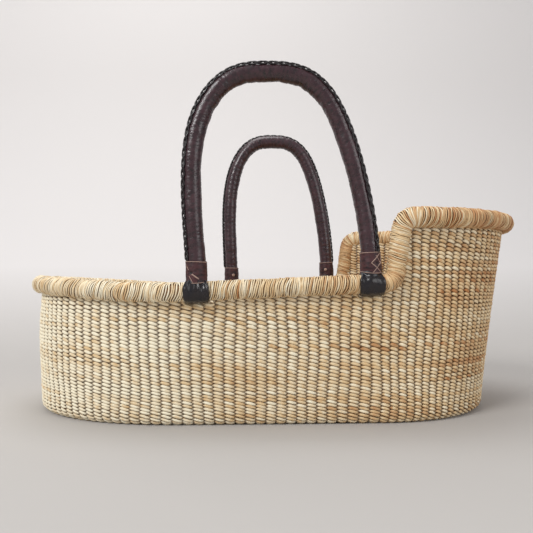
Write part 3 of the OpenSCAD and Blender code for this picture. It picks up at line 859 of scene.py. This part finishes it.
def wrap_rim(bundle, outline, weave):
    """Winds strands side by side round the rim, closer in its bends, until each meets its start."""
    d = np.linspace(0, outline.round, 6001)
    line = outline.rim_point(d)
    steps = np.linalg.norm(np.diff(line, axis=0), axis=1)
    heading = unit(np.diff(line, axis=0))
    spread = np.linalg.norm(heading - np.roll(heading, 1, axis=0), axis=1) / steps
    reach = 30
    even = np.ones(2 * reach + 1) / (2 * reach + 1)
    spread = np.convolve(np.concatenate([spread[-reach:], spread, spread[:reach]]), even, "valid")
    crowding = 1 + 0.9 * spread * outline.rim_thickness(line[:-1, 0])
    whole_way = np.concatenate([[0], np.cumsum(steps * crowding)])
    whole = whole_way[-1]
    lead = weave.wrap_starts * weave.wrap_pitch
    turns = round(whole / lead)
    per_turn = 18
    count = turns * per_turn
    bunch = wander(21, (0.045, 1.6), 9)
    crowd = wander(22, (0.013, 1.2), 9)
    swell = wander(23, (0.09, 2.0))
    for start in range(weave.wrap_starts):
        rng = np.random.default_rng([start, 31])
        spin = np.arange(count) / per_turn * 2 * math.pi
        base = (np.arange(count) / count + start / turns / weave.wrap_starts) * whole
        own = wander(100 + start, (0.02, 1.0), 5)
        facing = np.cos(spin)
        along = base + 2.2 * MM * bunch(base, facing) + 0.55 * MM * crowd(base, facing + 2 * start)
        at = np.interp(np.mod(along, whole), whole_way, d)
        centre = outline.rim_point(at)
        tangent = unit(outline.rim_point(at + MM) - outline.rim_point(at - MM))
        out = unit(np.column_stack([tangent[:, 1], -tangent[:, 0], np.zeros(count)]))
        up = np.cross(out, tangent)
        half_thick = 1.15 * MM
        radius = outline.rim_thickness(centre[:, 0]) - half_thick
        free = np.ones(count)
        for side, middle in boot_places():
            gap = np.hypot(centre[:, 0] - middle.x, (np.sign(centre[:, 1]) != side) * 1.0)
            free = np.minimum(free, ease((gap - BOOT_WINDINGS) / (8 * MM)))
        proud = 0.4 * MM * swell(base, spin / 3) + 0.45 * MM * own(base, facing)
        proud = np.where(free < 1, np.minimum(proud * free, 0) + proud * free * (free > 0.99), proud)
        radius = radius + free * proud - (1 - free) * 0.15 * MM
        way = out * np.cos(spin)[:, None] + up * np.sin(spin)[:, None]
        centres = centre + way * radius[:, None]
        strand_way = unit(np.roll(centres, -1, 0) - np.roll(centres, 1, 0))
        wide = unit(np.cross(strand_way, way))
        thick = np.cross(wide, strand_way)
        lengths = np.concatenate([[0], np.cumsum(np.linalg.norm(np.diff(centres, axis=0), axis=1))])
        shade = blade_shades(rng, lengths, 0.8 * weave.blade, pale=0.55, spread=0.12)
        shade = shade + 0.1 * bunch(base + 5, facing)
        fat = 1 + 0.16 * own(base + 3, facing)
        # Painted shade along both edges of each wound strand, in the grooves between strands
        bundle.tube(centres, wide, thick, weave.wrap_pitch * 0.5 * fat, half_thick, shade=shade,
                    edge=0.95, closed=True)


# ---- Handles ----

class Arch:
    """One handle's centre line, from its foot-side leg over the crown to its head-side leg."""

    def __init__(self, side, outline, sizes):
        self.side = side
        name = SIDES[side]
        self.y = joint_of(side)["pos_m"][1]
        foot_x = box_middle(name + "_foot_boot").x
        head_x = box_middle(name + "_head_boot").x
        lean = sizes.front_lean if side == FRONT else sizes.back_lean
        crown = grip_top(side) - CORE_RADIUS
        a = np.concatenate([math.pi / 2 * np.linspace(0, 1, 1500) ** 1.6,
                            math.pi - math.pi / 2 * np.linspace(1, 0, 1500)[1:] ** 1.6])
        power = 2 / sizes.arch_power
        wide = np.sign(np.cos(a)) * np.abs(np.cos(a)) ** power
        tall = np.abs(np.sin(a)) ** power
        x = (foot_x + head_x) / 2 - (head_x - foot_x) / 2 * wide
        low = outline.side_height(x) + sizes.leg_start
        leaning = x - lean * ease(tall / 0.85)
        line = np.column_stack([leaning, np.full(len(x), self.y), mix(low, crown, tall)])
        steps = np.linalg.norm(np.diff(line, axis=0), axis=1)
        self.line = line
        self.distance = np.concatenate([[0], np.cumsum(steps)])
        self.length = self.distance[-1]
        self.feet = {"foot": foot_x, "head": head_x}

    def at(self, s):
        return np.column_stack([np.interp(s, self.distance, self.line[:, k]) for k in range(3)])

    def ways(self, s):
        """Along the handle, away from the hand, and out from the basket."""
        step = 1.5 * MM
        along = unit(self.at(np.minimum(s + step, self.length)) - self.at(np.maximum(s - step, 0)))
        out = np.column_stack([-along[:, 2], np.zeros(len(s)), along[:, 0]])
        outer = np.broadcast_to([0.0, float(self.side), 0.0], out.shape)
        return along, out, outer

    def tube_points(self, s, turn, radius):
        """Points at these distances (rows) and turns (columns) round the handle."""
        centre = self.at(s)
        _, out, outer = self.ways(s)
        way = (out[:, None, :] * np.cos(turn)[None, :, None]
               + outer[:, None, :] * np.sin(turn)[None, :, None])
        return centre[:, None, :] + way * radius[..., None]

    def bend(self, s):
        """0 on the straight legs, 1 where the handle bends most."""
        along, _, _ = self.ways(s)
        heading = np.unwrap(np.arctan2(along[:, 2], along[:, 0]))
        turn = np.abs(np.gradient(heading, s))
        reach = 9
        even = np.ones(2 * reach + 1) / (2 * reach + 1)
        turn = np.convolve(np.pad(turn, reach, mode="edge"), even, "valid")
        return np.clip(turn / np.percentile(turn, 90), 0, 1)


def cover_handle(arch, sizes, material):
    """The leather cover, drawn tight over the bundle; its creases are deepest inside the bend."""
    bundle = Bundle()
    s = np.arange(0.5 * MM, arch.length, 1.15 * MM)
    turn = -arch.side * np.linspace(0, 2 * math.pi, 44, endpoint=False)
    rows, cols = np.meshgrid(s, turn, indexing="ij")
    seed = 40 + arch.side
    creases = wander(seed, (0.0055, 1.5), 12)
    folds = wander(seed + 5, (0.013, 2.2), 9)
    lumps = wander(seed + 9, (0.07, 2.4), 6)
    inside = np.clip(-np.cos(cols), 0, 1) * arch.bend(s)[:, None]
    facing = np.sin(cols)
    cut = np.clip(np.abs(creases(rows, 1.2 * np.cos(cols) + facing)) * 2.2, 0, 1)
    radius = sizes.grip_radius + 0.3 * MM * lumps(rows, facing)
    radius = radius - (0.3 + 0.6 * inside) * MM * (1 - cut)
    radius = radius + (0.14 + 0.4 * inside) * MM * folds(rows, facing)
    points = arch.tube_points(s, turn, radius)
    grain = np.stack([rows, np.cos(cols), facing], axis=-1)
    bundle.grid(points, grain, along=False)
    return bundle.piece(f"{SIDES[arch.side]}_handle_leather", material)


def plait_seam(arch, sizes, material):
    """Three thongs plaited along the outside of the arch."""
    bundle = Bundle()
    low = sizes.cuff_top - sizes.leg_start - 3 * MM
    s = np.arange(low, arch.length - low, 1.1 * MM)
    k = (s - s[0]) / (s[-1] - s[0])
    seat = np.radians(mix(27, 50, k) if arch.side == FRONT else mix(4, 8, k))
    seat = seat + math.radians(3) * wander(60 + arch.side, (0.12, 1))(s)
    ends = ease(np.minimum(s - s[0], s[-1] - s) / (8 * MM))
    centre = arch.at(s)
    _, out, outer = arch.ways(s)
    width, thick = 1.55 * MM, 1.0 * MM
    for strand in range(3):
        phase = 2 * math.pi * (s / sizes.plait_wave + strand / 3)
        turn = seat + (sizes.plait_width / 2 - width) * np.sin(phase) / sizes.grip_radius
        radius = sizes.grip_radius + mix(-1.0 * MM, 1.5 * MM + 1.0 * MM * np.cos(2 * phase), ends)
        way = out * np.cos(turn)[:, None] + outer * np.sin(turn)[:, None]
        centres = centre + way * radius[:, None]
        strand_way = unit(np.gradient(centres, axis=0))
        across = unit(np.cross(strand_way, way))
        # Painted shade, near black, along both edges of each thong
        bundle.tube(centres, across, np.cross(across, strand_way), width, thick, sides=8, edge=0.8)
    return bundle.piece(f"{SIDES[arch.side]}_handle_seam", material)


def leg_distance(arch, end, outline, z):
    """Distances along the handle at which this leg is at heights z over the rim's centre."""
    base = outline.side_height(arch.feet[end])
    half = arch.distance < arch.length / 2 if end == "foot" else arch.distance > arch.length / 2
    heights, distances = arch.line[half, 2] - base, arch.distance[half]
    order = np.argsort(heights)
    return np.interp(z, heights[order], distances[order])


def cuff_surface(arch, end, outline, z, turn, radius):
    """Points of a leg's cuff at heights z over the rim's centre; turn 0 faces away from the hand."""
    s = np.maximum(leg_distance(arch, end, outline, z), 0)
    centre = arch.at(s)
    base = outline.side_height(arch.feet[end])
    centre[:, 2] = base + z
    _, out, outer = arch.ways(s)
    way = (out[:, None, :] * np.cos(turn)[None, :, None]
           + outer[:, None, :] * np.sin(turn)[None, :, None])
    way[..., 2] *= 0.25
    return centre[:, None, :] + unit(way) * radius[..., None]


# Turn round a leg, from the side away from the hand to the outside, of the hole that its lace crosses
LACE_TURN = math.radians(64)
# Stretches of each cuff's lace: turns from the hole in degrees, rises in half heights of the cuff,
# and half width in millimetres
LACES = {
    "foot": ((6, 42, -0.15, -0.62, 0.8), (-14, -38, 0.25, 0.9, 0.35), (-10, 10, -0.35, -0.95, 0.4)),
    "head": ((34, -24, 0.0, 1.0, 0.55), (34, -30, 0.0, -1.0, 0.55), (-26, 26, 0.15, -0.95, 0.4),
             (-28, 6, -0.2, 0.75, 0.35), (-26, -30, 0.95, -0.95, 0.35)),
}


def cuff_bottom(sizes, end):
    """Height of a cuff's bottom edge over the rim's centre."""
    return sizes.foot_cuff_bottom if end == "foot" else sizes.head_cuff_bottom


def cuff_top(sizes, end):
    """Height of a cuff's top edge over the rim's centre; the head-side cuffs reach a little higher."""
    return sizes.cuff_top if end == "foot" else sizes.cuff_top + 3 * MM


def make_cuff(arch, end, outline, sizes, material):
    """A band of leather wrapped round the leg, its overlap lying near the seam."""
    bundle = Bundle()
    low, high = cuff_bottom(sizes, end), cuff_top(sizes, end)
    turn = -arch.side * np.linspace(0, 2 * math.pi, 80, endpoint=False)
    edge = 0.9 * MM
    z = np.concatenate([[low + edge], np.linspace(low, high, 40), [high - edge]])
    k = (z - low) / (high - low)
    swell = np.where((z <= low) | (z >= high), 0.7, 1.3) * MM
    swell[0] = swell[-1] = -0.8 * MM
    rows, cols = np.meshgrid(z, turn, indexing="ij")
    seed = 70 + 3 * arch.side + (end == "head")
    lumps = wander(seed, (0.02, 1.4))
    creases = wander(seed + 20, (0.005, 1.0), 9)
    flap = 0.55 * MM * np.exp(-((cols - math.radians(20)) % (2 * math.pi)) / 0.55)
    waist = 0.5 * MM * (1 - k[:, None]) + 0.25 * MM * np.sin(math.pi * k[:, None])
    across = ((cols - LACE_TURN + math.pi) % (2 * math.pi) - math.pi) * sizes.grip_radius
    upward = rows - (low + high) / 2
    away = np.hypot(across, upward)
    hole = np.exp(-(away / (1.7 * MM)) ** 2)
    rays = np.cos(9 * np.arctan2(upward, across)) * np.exp(-away / (5 * MM)) * (1 - hole)
    radius = sizes.grip_radius + swell[:, None] + waist + flap + 0.25 * MM * rays - 1.2 * MM * hole
    radius = radius + 0.2 * MM * lumps(rows, np.sin(cols) + 0.6 * np.cos(cols))
    radius = radius + 0.12 * MM * creases(rows, np.sin(cols))
    points = cuff_surface(arch, end, outline, z, turn, radius)
    grain = np.stack([rows, np.cos(cols), np.sin(cols)], axis=-1)
    # Painted shade: the lace's hole is painted near black
    bundle.grid(points, grain, hollow=hole, along=False)
    return bundle.piece(f"{SIDES[arch.side]}_{end}_cuff_leather", material)


def make_thread(arch, end, outline, sizes, material):
    """Thread round the cuff's edges, the lace through its hole, and a knot on the inner side."""
    bundle = Bundle()
    low, high = cuff_bottom(sizes, end), cuff_top(sizes, end)

    def run(z, turn, lift, half_width, half_thick, closed=False):
        def path(radius):
            """Points on the cuff, each at its own height, turn and radius."""
            places = [slice(i, i + 1) for i in range(len(z))]
            return np.concatenate([cuff_surface(arch, end, outline, z[i], turn[i], radius[i, None])[0]
                                   for i in places])

        radius = sizes.grip_radius + 1.25 * MM + 0.5 * MM * (1 - (z - low) / (high - low)) + lift
        points = path(radius)
        thick = unit(points - path(radius * 0))
        way = unit(np.gradient(points, axis=0))
        wide = unit(np.cross(way, thick))
        bundle.tube(points, wide, thick, half_width, half_thick, closed=closed)

    middle = (low + high) / 2
    around = np.linspace(0, 2 * math.pi, 56, endpoint=False)
    for z, slope in ((high - 1.1 * MM, 0.5 * MM), (low + 1.4 * MM, -0.5 * MM)):
        clear = 0 if z > middle else 1.8 * MM * np.cos(around) ** 2
        run(z + slope * np.cos(around) + clear, around, 0.45 * MM, 0.42 * MM, 0.38 * MM, closed=True)
    reach = (high - low) / 2 - 1.5 * MM
    k = np.linspace(0, 1, 14)
    for turn_from, turn_to, rise_from, rise_to, size in LACES[end]:
        turn = LACE_TURN + np.radians(mix(turn_from, turn_to, k))
        rise = middle + reach * mix(rise_from, rise_to, k)
        run(rise, turn, 0.7 * MM - 0.5 * MM * k, size * MM, 0.45 * MM)
    knot = np.linspace(0, 2 * math.pi, 12, endpoint=False)
    knot_turn = math.radians(-105)
    for size, lift in ((1.9 * MM, 0.6 * MM), (0.9 * MM, 1.3 * MM)):
        run(middle + size * np.sin(knot), knot_turn + size * np.cos(knot) / sizes.grip_radius,
            lift, 0.8 * MM, 0.8 * MM, closed=True)
    return bundle.piece(f"{SIDES[arch.side]}_{end}_cuff_thread", material)


def make_boot(arch, end, outline, sizes, material):
    """A boot of thin leather, gathered under the cuff and drawn round the rim."""
    bundle = Bundle()
    x_mid = arch.feet[end]
    turn = np.linspace(-math.pi, math.pi, 120, endpoint=False)
    u = np.linspace(-1, 1, 65)
    rows, cols = np.meshgrid(turn, u, indexing="ij")
    up_share = ease((np.cos(turn) - 0.3) / 0.7)
    down = ease((-np.cos(turn) - 0.55) / 0.45)
    neck_half, under_half = 13.4 * MM, 16.0 * MM
    half = mix(mix(sizes.boot_width / 2, neck_half, up_share), under_half, down)
    x = half[:, None] * cols
    seed = 90 + 3 * arch.side + (end == "head")
    gathers = wander(seed, (0.5, 5.0), 9)
    puff = wander(seed + 30, (1.1, 1.6), 5)
    near_neck = ease((np.cos(rows) + 0.55) / 1.2)
    folds = (0.08 + 0.92 * near_neck) * 1.2 * MM * gathers(cols, rows * 0.45 * np.sign(rows))
    folds = np.clip(folds, -1.3 * MM, 1.5 * MM)
    full = 1 - cols**8
    sleeve = sizes.boot_radius - 0.2 * MM + 0.5 * MM * puff(cols, rows) * near_neck + folds
    neck_radius = 13.9 * MM
    cap = cuff_bottom(sizes, end) + 5 * MM
    across = np.sqrt(np.maximum(neck_radius**2 - x**2, 0))
    neck = across / np.maximum(np.abs(np.sin(rows)), 0.05)
    neck = np.where(np.cos(rows) > 0, np.minimum(neck, cap / np.maximum(np.cos(rows), 0.05)), 0)
    sharp = 0.9 * MM
    rounding = sharp * np.log1p(np.exp(-np.abs(sleeve - neck) / sharp)) * 0.6
    outer = np.maximum(sleeve, neck) + rounding
    outer = np.where(neck > 0, outer, sleeve) + folds * 0.4
    bore = sizes.boot_bore + 0.15 * MM
    least = 1.95 * MM
    outer = bore + np.maximum(outer - bore, least) * np.maximum(full, 0) ** 0.4
    inner = np.full_like(outer[:, :2], bore)

    def points(radius, across_x):
        y = radius * np.sin(rows[:, :radius.shape[1]]) * arch.side
        z = radius * np.cos(rows[:, :radius.shape[1]])
        return np.stack([across_x, y, z], axis=-1)

    surface = points(outer, x)
    lining = points(inner, np.column_stack([half * 0.96, -half * 0.96]))
    ring = np.concatenate([surface, lining], axis=1)
    tilt = math.atan(RIM_SLOPE)
    turned = ring.copy()
    turned[..., 0] = ring[..., 0] * math.cos(tilt) - ring[..., 2] * math.sin(tilt)
    turned[..., 2] = ring[..., 0] * math.sin(tilt) + ring[..., 2] * math.cos(tilt)
    turned += np.array([x_mid, arch.y, outline.side_height(x_mid)])
    around = rows[:, :1]
    grain = np.stack(np.broadcast_arrays(ring[..., 0], np.cos(around), np.sin(around)), axis=-1)
    bundle.grid(turned, grain)
    return bundle.piece(f"{SIDES[arch.side]}_{end}_boot_leather", material)


# ---- Operators ----

def settings():
    scene = bpy.context.scene
    return scene.basket_sizes, scene.basket_weave, scene.handle_sizes, scene.basket_finishes


def arches():
    sizes, _, handles, _ = settings()
    outline = Outline(sizes)
    return outline, [Arch(side, outline, handles) for side in SIDES]


class BASKET_OT_floor(bpy.types.Operator):
    """Twine the flat floor, ring by ring, round stakes that run across it"""

    bl_idname = "basket.floor"
    bl_label = "Weave floor"

    def execute(self, context):
        sizes, weave, _, _ = settings()
        outline = Outline(sizes)
        bundle = Bundle()
        count = round(sizes.floor_half_width / weave.floor_pitch)
        pitch = sizes.floor_half_width / count
        straight = sizes.head_turn - sizes.foot_turn
        stake_pitch = straight / (2 * round(straight / outline.round * weave.stake_count / 2))
        for index in range(count):
            floor_course(bundle, outline, weave, index, (index + 0.5) * pitch, stake_pitch)
        twining = bundle.piece("floor_twining", grass_finish("Floor grass"))
        place(twining, "basket", "grass_weave", "floor_weave")
        stakes = Bundle()

        def stake(line, way):
            side, up = (np.broadcast_to(each, line.shape) for each in (way, (0.0, 0.0, 1.0)))
            stakes.tube(line, side, up, weave.stake_radius, 0.9 * weave.stake_radius)

        k = np.arange(round(straight / stake_pitch) + 1)
        for x in sizes.foot_turn + k * stake_pitch:
            line = np.array([[x, y, sizes.wall_thickness / 2]
                             for y in np.linspace(-1, 1, 12) * (sizes.floor_half_width + 4 * MM)])
            stake(line, (1.0, 0.0, 0.0))
        ends = outline.round / weave.stake_count * np.arange(weave.stake_count)
        rim = outline.at(ends, sizes.floor_reach, sizes.floor_reach - sizes.head_tuck,
                         sizes.floor_half_width)
        for edge in rim[(rim[:, 0] < sizes.foot_turn) | (rim[:, 0] > sizes.head_turn)]:
            turn = sizes.foot_turn if edge[0] < sizes.foot_turn else sizes.head_turn
            spine = mix(turn, math.copysign(sizes.floor_reach - sizes.floor_half_width, turn), 0.8)
            inner = np.array([spine, 0.0])
            line = np.array([[*mix(inner, edge, t), sizes.wall_thickness / 2]
                             for t in np.linspace(0.15, 1.01, 10)])
            along_x, along_y = edge - inner
            stake(line, unit(np.array([-along_y, along_x, 0])))
        ribs = stakes.piece("floor_ribs", stake_finish("Floor stake grass"))
        place(ribs, "basket", "grass_stake", "floor_stakes")
        return {"FINISHED"}


class BASKET_OT_wall(bpy.types.Operator):
    """Twine the wall, course by course, from the floor's edge up under the rim"""

    bl_idname = "basket.wall"
    bl_label = "Weave wall"

    BANDS = 6

    def execute(self, context):
        sizes, weave, _, _ = settings()
        weaver = Weaver(Outline(sizes), weave)
        courses = weaver.courses()
        material = grass_finish("Wall grass")
        side_courses = sum(v < SIDE_COURSES for v, _ in courses)
        per_band = math.ceil(side_courses / (self.BANDS - 1))
        bundles = [Bundle() for _ in range(self.BANDS)]
        for index, (v, pitch) in enumerate(courses):
            weaver.course(bundles[min(index // per_band, self.BANDS - 1)], index, v, pitch)
        for number, bundle in enumerate(bundles):
            piece = bundle.piece(f"wall_twining_{number + 1}", material)
            place(piece, "basket", "grass_weave", "wall_weave")
        return {"FINISHED"}


class BASKET_OT_stakes(bpy.types.Operator):
    """Stand the wall's stakes where the twining crosses"""

    bl_idname = "basket.stakes"
    bl_label = "Stand wall stakes"

    def execute(self, context):
        sizes, weave, _, _ = settings()
        weaver = Weaver(Outline(sizes), weave)
        bundle = Bundle()
        for index in range(weave.stake_count):
            weaver.stake(bundle, index)
        ribs = bundle.piece("wall_ribs", stake_finish("Wall stake grass"))
        place(ribs, "basket", "grass_stake", "wall_stakes")
        return {"FINISHED"}


class BASKET_OT_rim(bpy.types.Operator):
    """Wind grass round the rim's bundle"""

    bl_idname = "basket.rim"
    bl_label = "Wrap rim"

    def execute(self, context):
        sizes, weave, _, _ = settings()
        bundle = Bundle()
        wrap_rim(bundle, Outline(sizes), weave)
        winding = bundle.piece("rim_winding", grass_finish("Rim grass"))
        place(winding, "basket", "grass_wrap", "rim_wrap")
        return {"FINISHED"}


class BASKET_OT_covers(bpy.types.Operator):
    """Cover both handles in creased leather and plait their seams"""

    bl_idname = "basket.covers"
    bl_label = "Cover handles"

    def execute(self, context):
        _, _, handles, colours = settings()
        crease = colours.crease_shade
        leather = leather_finish("Handle leather", colours.brown_leather, crease, 0.27, 0.6)
        plait = leather_finish("Plait leather", colours.plait_leather, crease, 0.28, 0.5)
        for arch in arches()[1]:
            body = SIDES[arch.side] + "_handle"
            place(cover_handle(arch, handles, leather), body, "brown_leather", body + "_cover")
            place(plait_seam(arch, handles, plait), body, "leather_plait", body + "_plait")
        return {"FINISHED"}


class BASKET_OT_cuffs(bpy.types.Operator):
    """Wrap a cuff round each leg and lace it"""

    bl_idname = "basket.cuffs"
    bl_label = "Wrap cuffs"

    def execute(self, context):
        _, _, handles, colours = settings()
        crease = colours.crease_shade
        leather = leather_finish("Cuff leather", colours.cuff_leather, crease, 0.44, 0.35)
        thread = thread_finish("Cuff thread")
        outline, both = arches()
        for arch in both:
            body = SIDES[arch.side] + "_handle"
            for end in FEET:
                node = f"{SIDES[arch.side]}_{end}"
                cuff = make_cuff(arch, end, outline, handles, leather)
                place(cuff, body, "cuff_leather", node + "_cuff")
                lace = make_thread(arch, end, outline, handles, thread)
                place(lace, body, "thong", node + "_thong")
        return {"FINISHED"}


class BASKET_OT_boots(bpy.types.Operator):
    """Draw a gathered boot round the rim at each leg"""

    bl_idname = "basket.boots"
    bl_label = "Draw on boots"

    def execute(self, context):
        _, _, handles, colours = settings()
        # The plait's colour is painted as shade in the troughs of the boots' wrinkles
        crease = colours.plait_leather
        leather = leather_finish("Boot leather", colours.boot_leather, crease, 0.24, 0.5, 90)
        outline, both = arches()
        for arch in both:
            side = SIDES[arch.side]
            for end in FEET:
                boot = make_boot(arch, end, outline, handles, leather)
                place(boot, side + "_handle", "black_leather", f"{side}_{end}_boot")
        return {"FINISHED"}


class BASKET_OT_bundles(bpy.types.Operator):
    """Give the grass bundles inside the rim, the handles and the boots their straw"""

    bl_idname = "basket.bundles"
    bl_label = "Finish inner bundles"

    def execute(self, context):
        straw = bundle_finish("Bundled straw")
        for name, obj in frame["nodes"].items():
            if name.endswith(("_core", "_loop")):
                obj.data.materials.clear()
                obj.data.materials.append(straw)
        return {"FINISHED"}


class BASKET_OT_stage(bpy.types.Operator):
    """Set out the camera, a pale floor and backdrop, and soft lamps"""

    bl_idname = "basket.stage"
    bl_label = "Set stage"

    def execute(self, context):
        stage = context.scene.basket_stage
        add_camera(stage)
        add_floor(stage)
        add_lamps()
        context.scene.view_settings.view_transform = "Standard"
        return {"FINISHED"}


def add_camera(stage):
    data = bpy.data.cameras.new("Camera")
    data.lens = stage.camera_lens
    data.sensor_width = 36
    data.clip_start = 0.05
    camera = bpy.data.objects.new("Camera", data)
    camera.location = stage.camera_place
    camera.rotation_euler = (math.pi / 2 + stage.camera_tilt, 0, -stage.camera_turn)
    bpy.context.scene.collection.objects.link(camera)
    bpy.context.scene.camera = camera


def add_floor(stage):
    """A level floor that sweeps up into a backdrop behind the basket."""
    front, foot, bend, top, half = -6.0, 0.45, 1.1, 7.0, 8.0
    arc = [math.pi / 2 * k / 24 for k in range(25)]
    profile = ([(front, 0.0)] + [(foot + bend * math.sin(a), bend * (1 - math.cos(a))) for a in arc]
               + [(foot + bend, top)])
    points = [(x, y, z) for y, z in profile for x in (-half, half)]
    faces = [(2 * k, 2 * k + 1, 2 * k + 3, 2 * k + 2) for k in range(len(profile) - 1)]
    mesh = bpy.data.meshes.new("stage_sweep")
    mesh.from_pydata(points, [], faces)
    mesh.polygons.foreach_set("use_smooth", [True] * len(faces))
    finish = Finish("Sweep paint", roughness=0.9, specular=0.15)
    height = finish.node("ShaderNodeSeparateXYZ")
    finish.link(finish.here((1, 1, 1)), height.inputs[0])
    rise = finish.span(height.outputs["Z"], 0, 1, 0.0, 0.25)
    finish.paint(finish.blend(rise, tuple(stage.floor_paint), tuple(stage.wall_paint)))
    mesh.materials.append(finish.material)
    obj = bpy.data.objects.new("stage_sweep", mesh)
    bpy.context.scene.collection.objects.link(obj)


def add_lamps():
    world = bpy.data.worlds.new("Soft room")
    world.use_nodes = True
    background = world.node_tree.nodes["Background"]
    background.inputs["Color"].default_value = (0.93, 0.96, 1.0, 1)
    background.inputs["Strength"].default_value = 0.47
    bpy.context.scene.world = world
    middle = Vector((0, 0, 0.2))
    for name, spot, power, size in (
        ("Key", (-2.6, -2.6, 2.9), 114, 1.6),
        ("Top", (-0.3, 0.2, 2.4), 22, 1.4),
        ("Fill", (2.2, -2.2, 1.3), 20, 1.6),
    ):
        data = bpy.data.lights.new(name, "AREA")
        data.energy = power
        data.size = size
        lamp = bpy.data.objects.new(name, data)
        lamp.location = spot
        lamp.rotation_mode = "QUATERNION"
        lamp.rotation_quaternion = (Vector(spot) - middle).to_track_quat("Z", "Y")
        bpy.context.scene.collection.objects.link(lamp)


STEPS = (BASKET_OT_stage, BASKET_OT_floor, BASKET_OT_stakes, BASKET_OT_wall, BASKET_OT_rim,
         BASKET_OT_covers, BASKET_OT_cuffs, BASKET_OT_boots, BASKET_OT_bundles)


class BASKET_PT_maker(bpy.types.Panel):
    """Lists the steps that make the basket"""

    bl_idname = "BASKET_PT_maker"
    bl_label = "Moses basket"
    bl_space_type = "VIEW_3D"
    bl_region_type = "UI"
    bl_category = "Basket"

    def draw(self, context):
        for step in STEPS:
            self.layout.operator(step.bl_idname)


GROUPS = {
    "basket_sizes": BasketSizes,
    "basket_weave": WeaveSizes,
    "handle_sizes": HandleSizes,
    "basket_finishes": BasketFinishes,
    "basket_stage": StageSettings,
}
CLASSES = (*GROUPS.values(), *STEPS, BASKET_PT_maker)


def register():
    for cls in CLASSES:
        bpy.utils.register_class(cls)
    for name, group in GROUPS.items():
        setattr(bpy.types.Scene, name, PointerProperty(type=group))


def unregister():
    for name in GROUPS:
        delattr(bpy.types.Scene, name)
    for cls in reversed(CLASSES):
        bpy.utils.unregister_class(cls)


def main():
    register()
    for step in STEPS:
        group, name = step.bl_idname.split(".")
        getattr(getattr(bpy.ops, group), name)()


if __name__ == "__main__":
    main()
